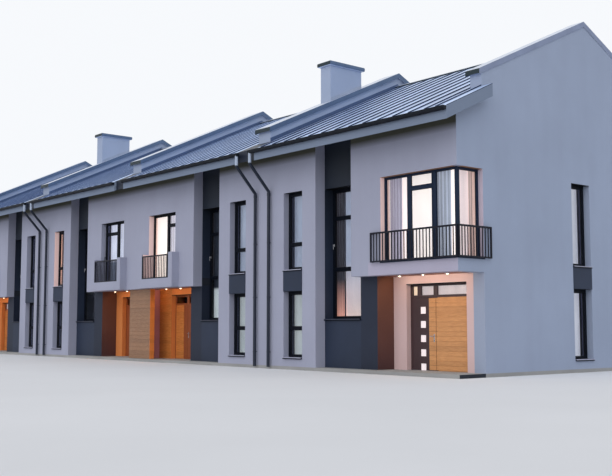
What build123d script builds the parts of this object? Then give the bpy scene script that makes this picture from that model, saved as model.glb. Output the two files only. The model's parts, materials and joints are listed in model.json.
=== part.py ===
"""A row of four modern terraced houses: rendered walls, tall windows, metal roofs behind parapets.

Millimetres, +Z up. The origin is on the ground in the middle of the row. +X runs along the street
front, from the plain party wall at the left end to the gable at the right end, and +Y runs from the
street front to the rear. Heights are counted from the ground.
"""
from build123d import *
import os
from math import radians, tan

# The row
HOUSES = 4
HOUSE_W = 8000            # from one party line to the next
GABLE_EXTRA = 26          # the house at the gable is this much wider
DEPTH = 11500             # front face to rear face
WALL_T = 370              # outer walls
PARTY_T = 600
SLAB_T = 100              # ground floor slab, its top is the floor
SOFFIT_Z = 2707           # underside of the upper storey where it hangs over the porches
UPPER_FLOOR_Z = 3000
SOFFIT_T = 30
STAIR_VOID_DEPTH = 2600   # the upper floor stops short behind the tall stair window

# Front of a house, from its far party line back to the one that it shares with its pair
PORCH_W = 3269
SIDE_WALL_W = 677         # dark wall beside the porch
STRIP_W = 1558            # recessed dark strip with the stair window
STRIP_WALL_T = 450
NARROW_W = 889            # narrow window in the wall that is left
NARROW_SHIFT = 34.5       # from the middle of that wall, away from the party line
BALCONY_WINDOW_W = 1818
BALCONY_WINDOW_EDGE = 943 # from the far party line
PORCH_DEPTH = 1017

# Heights of the windows
HEAD_Z = 5410
UPPER_SILL_Z = 3007
SPANDREL_Z = 2374         # underside of the dark panel between an upper and a lower window
LOWER_SILL_Z = 350
STRIP_SILL_Z = 1500
CORNER_SILL_Z = 3062
BALCONY_SILL_Z = 3040
UPPER_RAIL_Z = 3816       # the level bars in the narrow windows
LOWER_RAIL_Z = 1250
STRIP_RAILS = (3000, 4535)
BALCONY_RAIL_Z = 4985
CORNER_RAIL_Z = 5005

# Windows
CORNER_WINDOW_W = 2772    # along the front, from the gable corner
CORNER_POSTS = (1827, 924)
GABLE_WINDOW_START = 4934
GABLE_WINDOW_W = 893
BALCONY_POST = 1025       # from the window's left end
FRAME_SET = 200           # the frames stand this far behind the face of the wall
CORNER_FRAME_SET = 150
STRIP_FRAME_SET = 330
FRAME_T = 80
FRAME_W = 100
SLIM_FRAME_W = 60         # of the corner window and the balcony windows
POST_W = 140
RAIL_W = 110
BAR_T = 50                # posts and rails stand in front of the pane
PANE_T = 24
CORNER_EDGE_W = 40        # narrower side of the frame behind the corner post
SILL_T = 20
SILL_OUT = 45
SILL_LIP = 25
SPANDREL_OUT = 20
REAR_WINDOW_W = 1800
REAR_WINDOW_SILL = 950    # above each floor
REAR_WINDOW_HEAD = 2250
REAR_WINDOW_SHARES = (0.27, 0.73)

# Roof
PITCH = 25
EAVE_OVERHANG = 790
EAVE_TOP_Z = 6780
ROOF_T = 350              # measured straight down, also the height of the fascia with its sheet
SHEET_T = 20              # metal sheet on the eave boxes
SEAM_PITCH = 570
SEAM_H = 35
SEAM_T = 14
SEAM_MARGIN = 100         # the last seam stays this far from the party wall
RIDGE_CAP_W = 240
RIDGE_CAP_T = 50
VERGE_OVERHANG = 380      # the eave box wraps round the gable corner
EAVE_GAP_PIPES = 490      # half the gap between two eave boxes where the downpipes are
EAVE_GAP_PLAIN = 340      # and at the other party lines
PARAPET_H = 370           # of a party or gable wall above the roof, straight up
CAP_T = 130
CAP_OVERHANG = 90
GABLE_CAP_OVERHANG = 20   # on the gable's outer face
CAP_LIP = 35
CAP_LIP_T = 15
NOSE_SETBACK = 90
GUTTER_W = 120
GUTTER_H = 110
GUTTER_WALL = 6
GUTTER_BEAD_R = 10
GUTTER_REACH = 200        # past the eave box, over the downpipe

# Chimneys
CHIMNEY_W = 500
CHIMNEY_D = 1420
CHIMNEY_Y = 3310          # centre, behind the front face
CHIMNEY_RISE = 1239       # above the wall's cap on its low side
CHIMNEY_CAP_T = 150
CHIMNEY_CAP_OVERHANG = 90
CHIMNEY_CAP_R = 45

# Downpipes
PIPE_R = 50
PIPE_GAP = 50             # between the pipe and the wall
PIPE_X = 350              # from the party line
PIPE_KNEE_Z = 5530        # the pipe leaves the wall here
PIPE_NECK_Z = 6340
PIPE_SOCKET = 60          # straight end of the neck, below its knee
PIPE_FOOT_Z = 60
PIPE_SEAT = 30            # the neck's end reaches up round the gutter's bottom
PIPE_FIT = 0.3

# Entrances
DOOR_SIDE = 497           # from the porch's side wall to the opening
DOOR_FAR_WIDE = 580       # from the opening to the far party line, in a house on the right of its pair
DOOR_FAR = 970            # and on the left
DOOR_HEAD_Z = 2487
TRANSOM_Z = 2100
DOOR_SET = 170
DOOR_FRAME_W = 70
DOOR_POST_W = 50          # between the leaf and the fixed panel
DOOR_POST_W_LEFT = 236    # in a house on the left of its pair
TRANSOM_POSTS = (336, 937)  # from the opening to their middles
LEAF_W = 880
LEAF_T = 76               # of the leaf and of the frame round it
LEAF_GAP = 6
LOCK_GAP = 12
HINGE_R = 10
HINGE_GAP = 0.3           # between the knuckles, and beside the leaf
KNUCKLE_H = 50
HINGE_PLATE_W = 40
HINGE_PLATE_T = 4
HINGE_HEIGHTS = (350, 1150, 1900)
LEAF_LIGHT = 215
LEAF_LIGHTS = 5
LEAF_LIGHT_PITCH = 390
LEAF_LIGHT_TOP_Z = 1860
LEAF_LIGHT_SHIFT = 288    # from the hinge edge to the small panes
LEAF_LIGHT_DEPTH = 25
PANEL_T = 60
PORCH_SCREEN_W = 1510
PORCH_SCREEN_SET = 200
PORCH_SCREEN_T = 200
PORCH_DIVIDER_T = 260

# Balconies and railings
BALCONY_DEPTH = 290
BALCONY_PIER_W = 250
BALCONY_PIER_Z = 3950
RAIL_TOP_Z = 3880
RAIL_BAR = 22
RAIL_RAIL_H = 40
RAIL_RAIL_T = 40
RAIL_PITCH = 115
CORNER_RAIL_START = 3101  # along the front, from the gable corner
CORNER_RAIL_END = 1235    # round the corner, along the gable
CORNER_RAIL_GAP = 60

# Porch lights
LIGHT_R = 60
LIGHT_T = 20
LIGHT_SET = 470           # behind the front face
LIGHTS = 3                # to a house
LIGHT_PITCH_SHARED = 965  # in one row over two porches
LIGHT_PITCH_SINGLE = 870

STRIP_RECESS = WALL_T     # the strip is set back by one wall
ROW_W = HOUSES * HOUSE_W + PARTY_T / 2 + GABLE_EXTRA
RIGHT = ROW_W / 2
LEFT = -ROW_W / 2
FRONT = -DEPTH / 2
SLOPE = tan(radians(PITCH))
RIDGE = DEPTH / 2
SLAB_UNDER_Z = SOFFIT_Z + SOFFIT_T
VERGE_LENGTH = PORCH_DEPTH  # the gable's parapet starts where the corner window ends
PORCH_START = HOUSE_W - PORCH_W
STRIP_END = PORCH_START - SIDE_WALL_W
STRIP_START = STRIP_END - STRIP_W
NARROW_START = (PARTY_T / 2 + STRIP_START - NARROW_W) / 2 + NARROW_SHIFT
NARROW_END = NARROW_START + NARROW_W
BALCONY_WINDOW_END = HOUSE_W - BALCONY_WINDOW_EDGE
BALCONY_WINDOW_START = BALCONY_WINDOW_END - BALCONY_WINDOW_W
GABLE_WINDOW_END = GABLE_WINDOW_START + GABLE_WINDOW_W
DOOR_OPENING_START = PORCH_START + DOOR_SIDE
DOOR_Y = PORCH_DEPTH + DOOR_SET

PARTY = [RIGHT - GABLE_EXTRA - (i + 1) * HOUSE_W for i in range(HOUSES)]
PAIR_LINES = PARTY[0::2]


def is_porch_line(index):
    """At every second party line two porches meet, and the wall starts behind them."""
    return index % 2 == 1 and index < HOUSES - 1


class House:
    """One house: s is +1 where it lies to the right of the party line that it shares with its pair."""

    def __init__(self, index):
        self.name = "abcdefgh"[index]
        self.ref = PARTY[index - index % 2]
        self.s = -1 if index % 2 else 1
        self.is_end = index == 0
        self.shares_porch = index > 0 and is_porch_line(index if index % 2 else index - 1)
        self.width = HOUSE_W + (GABLE_EXTRA if self.is_end else 0)
        self.far = self.width - (0 if self.is_end else PARTY_T / 2)
        self.inner_far = self.width - (WALL_T if self.is_end else PARTY_T / 2)
        self.door_end = HOUSE_W - (DOOR_FAR if self.s < 0 else DOOR_FAR_WIDE)
        self.post_w = DOOR_POST_W_LEFT if self.s < 0 else DOOR_POST_W

    def x(self, d):
        """The place along the row that lies d from this house's party line."""
        return self.ref + self.s * d


ROW = [House(i) for i in range(HOUSES)]


def block(x0, x1, y0, y1, z0, z1):
    """A box between two corners, with y counted back from the front face."""
    size = (abs(x1 - x0), abs(y1 - y0), abs(z1 - z0))
    return Pos((x0 + x1) / 2, (y0 + y1) / 2 + FRONT, (z0 + z1) / 2) * Box(*size)


def in_house(house, d0, d1, y0, y1, z0, z1):
    """A box in a house, with its two x counted from the house's party line."""
    return block(house.x(d0), house.x(d1), y0, y1, z0, z1)


def push(face, x0, x1):
    """A face of (y, z) points, pushed along the row from x0 to x1."""
    low, high = sorted((x0, x1))
    return extrude(Plane((low, 0, 0), x_dir=(0, 1, 0), z_dir=(1, 0, 0)) * face, high - low)


def profile(points, x0, x1):
    """A wall-like solid: an outline of (y, z) points, pushed from x0 to x1."""
    return push(make_face(Polyline([(y + FRONT, z) for y, z in points], close=True)), x0, x1)


def roof_z(y, lift=0):
    """Height of the roof's top face, y behind the front face, on whichever slope lies there."""
    run = min(y, DEPTH - y)
    return EAVE_TOP_Z + SLOPE * (run + EAVE_OVERHANG) + lift


def under_roof(y, lift=0):
    return roof_z(y, lift - ROOF_T)


def sloping(y0, y1, low, high, x0, x1, rear=False):
    """A slab along a slope from y0 to y1, between two heights above the roof's face."""
    points = [(y0, roof_z(y0, low)), (y0, roof_z(y0, high)), (y1, roof_z(y1, high)), (y1, roof_z(y1, low))]
    if rear:
        points = [(DEPTH - y, z) for y, z in points]
    return profile(points, x0, x1)


def export(name, solids):
    shapes = []
    for solid in solids:
        shapes.extend(solid.solids())
    shape = shapes[0] if len(shapes) == 1 else Compound(children=shapes)
    export_step(shape, os.path.join("parts", name + ".step"))


def ground_floor():
    return [block(LEFT, RIGHT, 0, DEPTH, 0, SLAB_T)]


def stair_void_back():
    return STRIP_RECESS + WALL_T + STAIR_VOID_DEPTH


def upper_floor_front():
    """The upper floor beside the stair void of each house."""
    pieces = []
    for house in ROW:
        near = (PARTY_T / 2, STRIP_START - WALL_T)
        far = (STRIP_END, house.inner_far)
        for d0, d1 in (near, far):
            pieces.append(in_house(house, d0, d1, WALL_T, stair_void_back(), SLAB_UNDER_Z, UPPER_FLOOR_Z))
    return pieces


def upper_floor_rear():
    return [in_house(h, PARTY_T / 2, h.inner_far, stair_void_back(), DEPTH - WALL_T, SLAB_UNDER_Z, UPPER_FLOOR_Z)
            for h in ROW]


def wall_profile(y0, y1, z0, lift):
    """Outline of a cross wall under a roof raised by lift, with its ridge where it passes it."""
    points = [(y0, z0), (y0, roof_z(y0, lift))]
    if y0 < RIDGE < y1:
        points.append((RIDGE, roof_z(RIDGE, lift)))
    points += [(y1, roof_z(y1, lift)), (y1, z0)]
    return points


def gable_wall():
    wall = profile(wall_profile(PORCH_DEPTH, DEPTH - VERGE_LENGTH, SLAB_T, PARAPET_H), RIGHT - WALL_T, RIGHT)
    for z0, z1 in ((UPPER_SILL_Z, HEAD_Z), (LOWER_SILL_Z, SPANDREL_Z)):
        wall -= block(RIGHT - 2 * WALL_T, RIGHT + WALL_T, GABLE_WINDOW_START, GABLE_WINDOW_END, z0, z1)
    return [wall]


def gable_wall_ends():
    """The gable wall round the corner window, and its rear end under the eave box."""
    x0, x1 = RIGHT - WALL_T, RIGHT
    under = block(x0, x1, WALL_T, PORCH_DEPTH, SOFFIT_Z, CORNER_SILL_Z)
    over = profile([(WALL_T, HEAD_Z), (WALL_T, under_roof(WALL_T)), (PORCH_DEPTH, under_roof(PORCH_DEPTH)),
                    (PORCH_DEPTH, HEAD_Z)], x0, x1)
    y0, y1 = DEPTH - VERGE_LENGTH, DEPTH - WALL_T
    rear = profile([(y0, SLAB_T), (y0, under_roof(y0)), (y1, under_roof(y1)), (y1, SLAB_T)], x0, x1)
    return [under, over, rear]


def party_wall(line, z0=SLAB_T):
    return profile(wall_profile(0, DEPTH, z0, PARAPET_H), line - PARTY_T / 2, line + PARTY_T / 2)


def party_wall_base(line):
    return block(line - PARTY_T / 2, line + PARTY_T / 2, PORCH_DEPTH, DEPTH, SLAB_T, SOFFIT_Z)


def front_piece(house, d0, d1, y0, z0, thickness=WALL_T):
    """A piece of front wall up to the underside of the roof, with its outer face y0 behind the front."""
    y1 = y0 + thickness
    points = [(y0, z0), (y0, under_roof(y0)), (y1, under_roof(y1)), (y1, z0)]
    return profile(points, house.x(d0), house.x(d1))


def narrow_window_walls():
    walls = []
    for house in ROW:
        wall = front_piece(house, PARTY_T / 2, STRIP_START, 0, SLAB_T)
        wall -= in_house(house, NARROW_START, NARROW_END, -WALL_T, 2 * WALL_T, LOWER_SILL_Z, HEAD_Z)
        walls.append(wall)
    return walls


def wall_returns():
    """The short dark cross walls each side of the recessed strip."""
    returns = []
    for house in ROW:
        for d0, d1, z0 in ((STRIP_START - WALL_T, STRIP_START, SLAB_T),
                           (STRIP_END, STRIP_END + WALL_T, UPPER_FLOOR_Z)):
            returns.append(front_piece(house, d0, d1, STRIP_RECESS, z0, STRIP_WALL_T))
    return returns


def strip_walls():
    """The dark wall under and over each stair window, which fills the strip from side to side."""
    walls = []
    for house in ROW:
        wall = front_piece(house, STRIP_START, STRIP_END, STRIP_RECESS, SLAB_T, STRIP_WALL_T)
        y0, y1 = STRIP_RECESS - WALL_T, STRIP_RECESS + 2 * STRIP_WALL_T
        wall -= in_house(house, STRIP_START - WALL_T, STRIP_END + WALL_T, y0, y1, STRIP_SILL_Z, HEAD_Z)
        walls.append(wall)
    return walls


def upper_front_walls():
    walls = []
    for house in ROW:
        wall = front_piece(house, STRIP_END, house.far, 0, SOFFIT_Z)
        if house.is_end:
            wall -= block(RIGHT - CORNER_WINDOW_W, RIGHT + WALL_T, -WALL_T, 2 * WALL_T, CORNER_SILL_Z, HEAD_Z)
        else:
            wall -= in_house(house, BALCONY_WINDOW_START, BALCONY_WINDOW_END, -WALL_T, 2 * WALL_T,
                             BALCONY_SILL_Z, HEAD_Z)
        walls.append(wall)
    return walls


def porch_side_walls():
    return [in_house(h, STRIP_END, PORCH_START, STRIP_RECESS, PORCH_DEPTH + WALL_T, SLAB_T, SLAB_UNDER_Z)
            for h in ROW]


def entrance_piece(house, d0, d1, z0, z1):
    return in_house(house, d0, d1, PORCH_DEPTH, PORCH_DEPTH + WALL_T, z0, z1)


def entrance_walls_near():
    return [entrance_piece(h, PORCH_START, DOOR_OPENING_START, SLAB_T, SLAB_UNDER_Z) for h in ROW]


def entrance_walls_far():
    return [entrance_piece(h, h.door_end, h.inner_far, SLAB_T, SLAB_UNDER_Z) for h in ROW]


def entrance_heads():
    return [entrance_piece(h, DOOR_OPENING_START, h.door_end, DOOR_HEAD_Z, SLAB_UNDER_Z) for h in ROW]


def rear_window_places(house):
    """Two windows a storey on the rear, as (middle, sill, head)."""
    places = []
    inner = house.inner_far - PARTY_T / 2
    for share in REAR_WINDOW_SHARES:
        for floor in (SLAB_T, UPPER_FLOOR_Z):
            places.append((PARTY_T / 2 + inner * share, floor + REAR_WINDOW_SILL, floor + REAR_WINDOW_HEAD))
    return places


def rear_walls():
    walls = []
    for house in ROW:
        y0, y1 = DEPTH - WALL_T, DEPTH
        points = [(y0, SLAB_T), (y0, under_roof(y0)), (y1, under_roof(y1)), (y1, SLAB_T)]
        wall = profile(points, house.x(PARTY_T / 2), house.x(house.far))
        for middle, sill_z, head in rear_window_places(house):
            wall -= in_house(house, middle - REAR_WINDOW_W / 2, middle + REAR_WINDOW_W / 2,
                             y0 - WALL_T, y1 + WALL_T, sill_z, head)
        walls.append(wall)
    return walls


def eave_span(house):
    """The eave box's two ends, counted from the house's party line."""
    near = EAVE_GAP_PIPES
    far = house.width + VERGE_OVERHANG if house.is_end else house.width - EAVE_GAP_PLAIN
    return near, far


def seam(house, d, y0, y1, rear):
    """One upright seam of the metal sheet, from y0 to y1 up the slope."""
    x = house.x(d)
    return sloping(y0, y1, 0, SEAM_H, x - SEAM_T / 2, x + SEAM_T / 2, rear)


def roof(house, rear):
    """One slope between the parapets with its standing seams, and the sheet over its eave box."""
    d0, d1 = PARTY_T / 2, house.inner_far
    near, far = eave_span(house)
    slope = sloping(0, RIDGE, -ROOF_T, 0, house.x(d0), house.x(d1), rear)
    slope += sloping(-EAVE_OVERHANG, 0, -SHEET_T, 0, house.x(near), house.x(far), rear)
    top = RIDGE - RIDGE_CAP_W / 2
    seams = []
    d = d1 - SEAM_PITCH
    while d > d0 + SEAM_MARGIN:
        seams.append(seam(house, d, -EAVE_OVERHANG if near < d < far else 0, top, rear))
        d -= SEAM_PITCH
    if house.is_end:
        slope += sloping(0, VERGE_LENGTH, -SHEET_T, 0, RIGHT - WALL_T, RIGHT + VERGE_OVERHANG, rear)
        seams.append(seam(house, d1, -EAVE_OVERHANG, VERGE_LENGTH, rear))
        seams.append(seam(house, house.width, -EAVE_OVERHANG, VERGE_LENGTH, rear))
    return slope + seams


def ridge_cap(house):
    """A folded sheet over the ridge, between the parapets."""
    low = [(y, roof_z(y)) for y in (RIDGE - RIDGE_CAP_W / 2, RIDGE, RIDGE + RIDGE_CAP_W / 2)]
    high = [(y, z + RIDGE_CAP_T) for y, z in reversed(low)]
    return profile(low + high, house.x(PARTY_T / 2), house.x(house.inner_far))


def eave_box(house, rear):
    """A closed eave box with a sloping soffit, wrapped round the corner at the gable."""
    near, far = eave_span(house)
    box = sloping(-EAVE_OVERHANG, 0, -ROOF_T, -SHEET_T, house.x(near), house.x(far), rear)
    if house.is_end:
        box += sloping(-EAVE_OVERHANG, VERGE_LENGTH, -ROOF_T, -SHEET_T, RIGHT, RIGHT + VERGE_OVERHANG, rear)
    return box


def verge_strip(house, rear):
    """The bit of roof that runs out over the gable wall's ends, between the roof and the verge box."""
    return sloping(0, VERGE_LENGTH, -ROOF_T, -SHEET_T, house.x(house.inner_far), RIGHT, rear)


GUTTER_Y = -EAVE_OVERHANG - GUTTER_W
GUTTER_TOP = roof_z(-EAVE_OVERHANG, -SHEET_T)
GUTTER_BOTTOM = GUTTER_TOP - GUTTER_H


def trough(y0, y1, bottom, top):
    """Outline of a gutter, with upright sides and a round bottom."""
    shoulder = bottom + (y1 - y0) / 2
    sides = Polyline((y1 + FRONT, shoulder), (y1 + FRONT, top), (y0 + FRONT, top), (y0 + FRONT, shoulder))
    bowl = ThreePointArc((y0 + FRONT, shoulder), ((y0 + y1) / 2 + FRONT, bottom), (y1 + FRONT, shoulder))
    return make_face(sides.edges() + bowl.edges())


def gutter(house, rear):
    """A gutter along the top of the fascia, with closed ends and a beaded front edge."""
    near, far = eave_span(house)
    near -= GUTTER_REACH
    wall = GUTTER_WALL
    channel = push(trough(GUTTER_Y, -EAVE_OVERHANG, GUTTER_BOTTOM, GUTTER_TOP), house.x(near), house.x(far))
    channel -= push(trough(GUTTER_Y + wall, -EAVE_OVERHANG - wall, GUTTER_BOTTOM + wall, GUTTER_TOP + GUTTER_H),
                    house.x(near + wall), house.x(far - wall))
    bead = Rot(0, 90, 0) * Cylinder(GUTTER_BEAD_R, far - near)
    channel += Pos(house.x((near + far) / 2), GUTTER_Y + FRONT, GUTTER_TOP - GUTTER_BEAD_R) * bead
    return mirror(channel, about=Plane.XZ) if rear else channel


def pipe_place(line, side):
    return line + side * PIPE_X, FRONT - PIPE_GAP - PIPE_R


def downpipe(line, side, rear):
    """The straight round pipe on the wall."""
    x, y = pipe_place(line, side)
    height = PIPE_KNEE_Z - PIPE_SOCKET - PIPE_FOOT_Z
    pipe = Pos(x, y, PIPE_FOOT_Z + height / 2) * Cylinder(PIPE_R, height)
    return mirror(pipe, about=Plane.XZ) if rear else pipe


def downpipe_neck(line, side, rear):
    """The slanting neck between the gutter's end and the pipe on the wall."""
    x, y = pipe_place(line, side)
    out_y = FRONT + GUTTER_Y + GUTTER_W / 2
    path = [(x, y, PIPE_KNEE_Z - PIPE_SOCKET), (x, y, PIPE_KNEE_Z), (x, out_y, PIPE_NECK_Z),
            (x, out_y, GUTTER_BOTTOM + PIPE_SEAT)]
    neck = sweep(Plane(path[0], z_dir=(0, 0, 1)) * Circle(PIPE_R), path=Polyline(path),
                 transition=Transition.RIGHT)
    neck -= push(trough(GUTTER_Y - PIPE_FIT, -EAVE_OVERHANG + PIPE_FIT, GUTTER_BOTTOM - PIPE_FIT, GUTTER_TOP),
                 x - 2 * PIPE_R, x + 2 * PIPE_R)
    return mirror(neck, about=Plane.XZ) if rear else neck


def party_nose(line, half_gap, rear):
    """The dark metal filler between two eave boxes, in front of a party wall."""
    return sloping(-EAVE_OVERHANG + NOSE_SETBACK, 0, -ROOF_T, 0, line - half_gap, line + half_gap, rear)


def parapet_cap(x0, x1, y0, y1):
    """A folded metal cap over a parapet, following both slopes, with a lip down each side."""

    def chevron(low, high, left, right):
        under = [(y, roof_z(y, PARAPET_H + low)) for y in (y0, RIDGE, y1)]
        over = [(y, roof_z(y, PARAPET_H + high)) for y in (y1, RIDGE, y0)]
        return profile(under + over, left, right)

    cap = chevron(0, CAP_T, x0, x1)
    cap += chevron(-CAP_LIP, 0, x0, x0 + CAP_LIP_T)
    cap += chevron(-CAP_LIP, 0, x1 - CAP_LIP_T, x1)
    return cap


def party_cap(line):
    half = PARTY_T / 2 + CAP_OVERHANG
    return parapet_cap(line - half, line + half, -CAP_OVERHANG, DEPTH + CAP_OVERHANG)


def gable_cap():
    return parapet_cap(RIGHT - WALL_T - CAP_OVERHANG, RIGHT + GABLE_CAP_OVERHANG,
                       PORCH_DEPTH - CAP_OVERHANG, DEPTH - VERGE_LENGTH + CAP_OVERHANG)


def chimney_ends():
    return CHIMNEY_Y - CHIMNEY_D / 2, CHIMNEY_Y + CHIMNEY_D / 2


def chimney_top():
    return roof_z(chimney_ends()[0], PARAPET_H + CAP_T) + CHIMNEY_RISE


def chimney(line):
    """A chimney that stands on the party wall, cut to its slope."""
    y0, y1 = chimney_ends()
    top = chimney_top()
    lift = PARAPET_H + CAP_T
    points = [(y0, roof_z(y0, lift)), (y0, top), (y1, top), (y1, roof_z(y1, lift))]
    return profile(points, line - CHIMNEY_W / 2, line + CHIMNEY_W / 2)


def chimney_cap(line):
    """A flat overhanging cap with rounded edges."""
    y0, y1 = chimney_ends()
    out = CHIMNEY_CAP_OVERHANG
    cap = block(line - CHIMNEY_W / 2 - out, line + CHIMNEY_W / 2 + out, y0 - out, y1 + out,
                chimney_top(), chimney_top() + CHIMNEY_CAP_T)
    rims = cap.edges().filter_by(Axis.Z, reverse=True)
    return fillet(rims, min(CHIMNEY_CAP_R, CHIMNEY_CAP_OVERHANG / 2))


def window_frame(u0, u1, z0, z1, posts, rails, width, edge):
    """A frame in its own plane: a rim, upright posts at u and level rails (u0, u1, z) on its front half."""
    rim = block(u0, u1, 0, FRAME_T, z0, z1)
    rim -= block(u0 + edge, u1 - width, -FRAME_T, 2 * FRAME_T, z0 + width, z1 - width)
    for u in posts:
        rim += block(u - POST_W / 2, u + POST_W / 2, 0, BAR_T, z0 + width, z1 - width)
    for r0, r1, z in rails:
        rim += block(r0, r1, 0, BAR_T, z - RAIL_W / 2, z + RAIL_W / 2)
    return Pos(0, -FRONT, 0) * rim


def window_sill(u0, u1, z, depth, lip_start):
    """A metal sill in front of a frame that stands depth behind the wall's face, with a drip edge."""
    front = -depth - SILL_OUT
    plate = block(u0, u1, front, 0, z, z + SILL_T)
    plate += block(lip_start, u1, front, front + SILL_T, z - SILL_LIP, z)
    return Pos(0, -FRONT, 0) * plate


def pane(u0, u1, z0, z1, width, edge):
    """The sheet of glass of one window, behind its bars and inside its rim."""
    sheet = block(u0 + edge, u1 - width, BAR_T, BAR_T + PANE_T, z0 + width, z1 - width)
    return Pos(0, -FRONT, 0) * sheet


class Window:
    """A window in the front, rear or gable wall, as its frame and its pane.

    The place puts a frame that is drawn at the origin into its wall. depth is how far the frame
    stands behind the wall's face, where it has a sill, and edge is the width of its left side.
    """

    def __init__(self, place, u0, u1, z0, z1, posts=(), rails=(), width=FRAME_W, edge=None, depth=0):
        edge = edge or width
        frame = window_frame(u0, u1, z0, z1, posts, rails, width, edge)
        if depth:
            frame += window_sill(u0, u1, z0, depth, u0)
        self.frame = place * frame
        self.pane = place * pane(u0, u1, z0, z1, width, edge)


def front_place(y):
    return Pos(0, FRONT + y, 0)


REAR_PLACE = Pos(0, -FRONT - FRAME_SET, 0) * Rot(0, 0, 180)
GABLE_PLACE = Pos(RIGHT - FRAME_SET, FRONT, 0) * Rot(0, 0, 90)
CORNER_SIDE_PLACE = Pos(RIGHT - CORNER_FRAME_SET, FRONT, 0) * Rot(0, 0, 90)


def ordered(a, b):
    return min(a, b), max(a, b)


def storeys():
    """Sill, head and rail of the narrow windows, one above the other."""
    return ((UPPER_SILL_Z, HEAD_Z, UPPER_RAIL_Z), (LOWER_SILL_Z, SPANDREL_Z, LOWER_RAIL_Z))


def narrow_windows():
    windows = []
    for house in ROW:
        u0, u1 = ordered(house.x(NARROW_START), house.x(NARROW_END))
        for z0, z1, rail in storeys():
            windows.append(Window(front_place(FRAME_SET), u0, u1, z0, z1, rails=[(u0, u1, rail)], depth=FRAME_SET))
    return windows


def strip_windows():
    windows = []
    for house in ROW:
        u0, u1 = ordered(house.x(STRIP_START), house.x(STRIP_END))
        rails = [(u0, u1, z) for z in STRIP_RAILS]
        windows.append(Window(front_place(STRIP_RECESS + STRIP_FRAME_SET), u0, u1, STRIP_SILL_Z, HEAD_Z,
                              rails=rails, depth=STRIP_FRAME_SET))
    return windows


def balcony_windows():
    """A fixed pane and a leaf with a top light, which is on the side of the stair strip."""
    windows = []
    for house in ROW:
        if house.is_end:
            continue
        u0, u1 = ordered(house.x(BALCONY_WINDOW_START), house.x(BALCONY_WINDOW_END))
        post = u0 + BALCONY_POST
        r0, r1 = ordered(house.x(BALCONY_WINDOW_START), post)
        windows.append(Window(front_place(FRAME_SET), u0, u1, BALCONY_SILL_Z, HEAD_Z,
                              posts=[post], rails=[(r0, r1, BALCONY_RAIL_Z)], width=SLIM_FRAME_W))
    return windows


def gable_windows():
    return [Window(GABLE_PLACE, GABLE_WINDOW_START, GABLE_WINDOW_END, z0, z1, depth=FRAME_SET)
            for z0, z1, rail in storeys()]


def rear_windows():
    windows = []
    for house in ROW:
        for middle, sill_z, head in rear_window_places(house):
            u = -house.x(middle)
            windows.append(Window(REAR_PLACE, u - REAR_WINDOW_W / 2, u + REAR_WINDOW_W / 2, sill_z, head,
                                  posts=[u], depth=FRAME_SET))
    return windows


def corner_window_front():
    """The corner window's street side, which holds the corner post and the corner of the sill."""
    u0, u1 = RIGHT - CORNER_WINDOW_W, RIGHT - CORNER_FRAME_SET
    posts = [RIGHT - p for p in CORNER_POSTS]
    rails = [(posts[0], posts[1], CORNER_RAIL_Z)]
    place = front_place(CORNER_FRAME_SET)
    window = Window(place, u0, u1, CORNER_SILL_Z, HEAD_Z, posts, rails, width=SLIM_FRAME_W)
    window.frame += place * window_sill(u0, RIGHT + SILL_OUT, CORNER_SILL_Z, CORNER_FRAME_SET, u0)
    return window


def corner_window_side():
    y0 = CORNER_FRAME_SET + FRAME_T
    window = Window(CORNER_SIDE_PLACE, y0, PORCH_DEPTH, CORNER_SILL_Z, HEAD_Z, width=SLIM_FRAME_W,
                    edge=CORNER_EDGE_W)
    window.frame += CORNER_SIDE_PLACE * window_sill(CORNER_FRAME_SET, PORCH_DEPTH, CORNER_SILL_Z,
                                                    CORNER_FRAME_SET, SILL_T - SILL_OUT)
    return window


def spandrel_panels():
    """Dark panels between the upper and the lower narrow windows, just proud of the wall."""
    return [in_house(h, NARROW_START, NARROW_END, -SPANDREL_OUT, FRAME_SET + FRAME_T, SPANDREL_Z, UPPER_SILL_Z)
            for h in ROW]


def gable_spandrels():
    """The thin dark panel on the gable between its windows."""
    return [block(RIGHT, RIGHT + SPANDREL_OUT, GABLE_WINDOW_START, GABLE_WINDOW_END, SPANDREL_Z, UPPER_SILL_Z)]


def balcony_slabs():
    d0, d1 = BALCONY_WINDOW_START - BALCONY_PIER_W, BALCONY_WINDOW_END + BALCONY_PIER_W
    return [in_house(h, d0, d1, -BALCONY_DEPTH, 0, SOFFIT_Z, BALCONY_SILL_Z) for h in ROW if not h.is_end]


def balcony_piers():
    piers = []
    for house in ROW:
        if house.is_end:
            continue
        for d0 in (BALCONY_WINDOW_START - BALCONY_PIER_W, BALCONY_WINDOW_END):
            piers.append(in_house(house, d0, d0 + BALCONY_PIER_W, -BALCONY_DEPTH, 0,
                                  BALCONY_SILL_Z, BALCONY_PIER_Z))
    return piers


def railing(u0, u1, z0, z1):
    """Two rails and square bars between them, in a plane of its own that starts at y = 0."""
    rails = block(u0, u1, 0, RAIL_RAIL_T, z0, z0 + RAIL_RAIL_H)
    rails += block(u0, u1, 0, RAIL_RAIL_T, z1 - RAIL_RAIL_H, z1)
    count = max(2, round((u1 - u0) / RAIL_PITCH))
    step = (u1 - u0 - RAIL_RAIL_T) / count
    middle = RAIL_RAIL_T / 2
    bars = []
    for i in range(count + 1):
        half = RAIL_RAIL_T / 2 if i in (0, count) else RAIL_BAR / 2
        u = u0 + middle + i * step
        bars.append(block(u - half, u + half, middle - half, middle + half, z0 + RAIL_RAIL_H, z1 - RAIL_RAIL_H))
    return Pos(0, -FRONT, 0) * (rails + bars)


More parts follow.
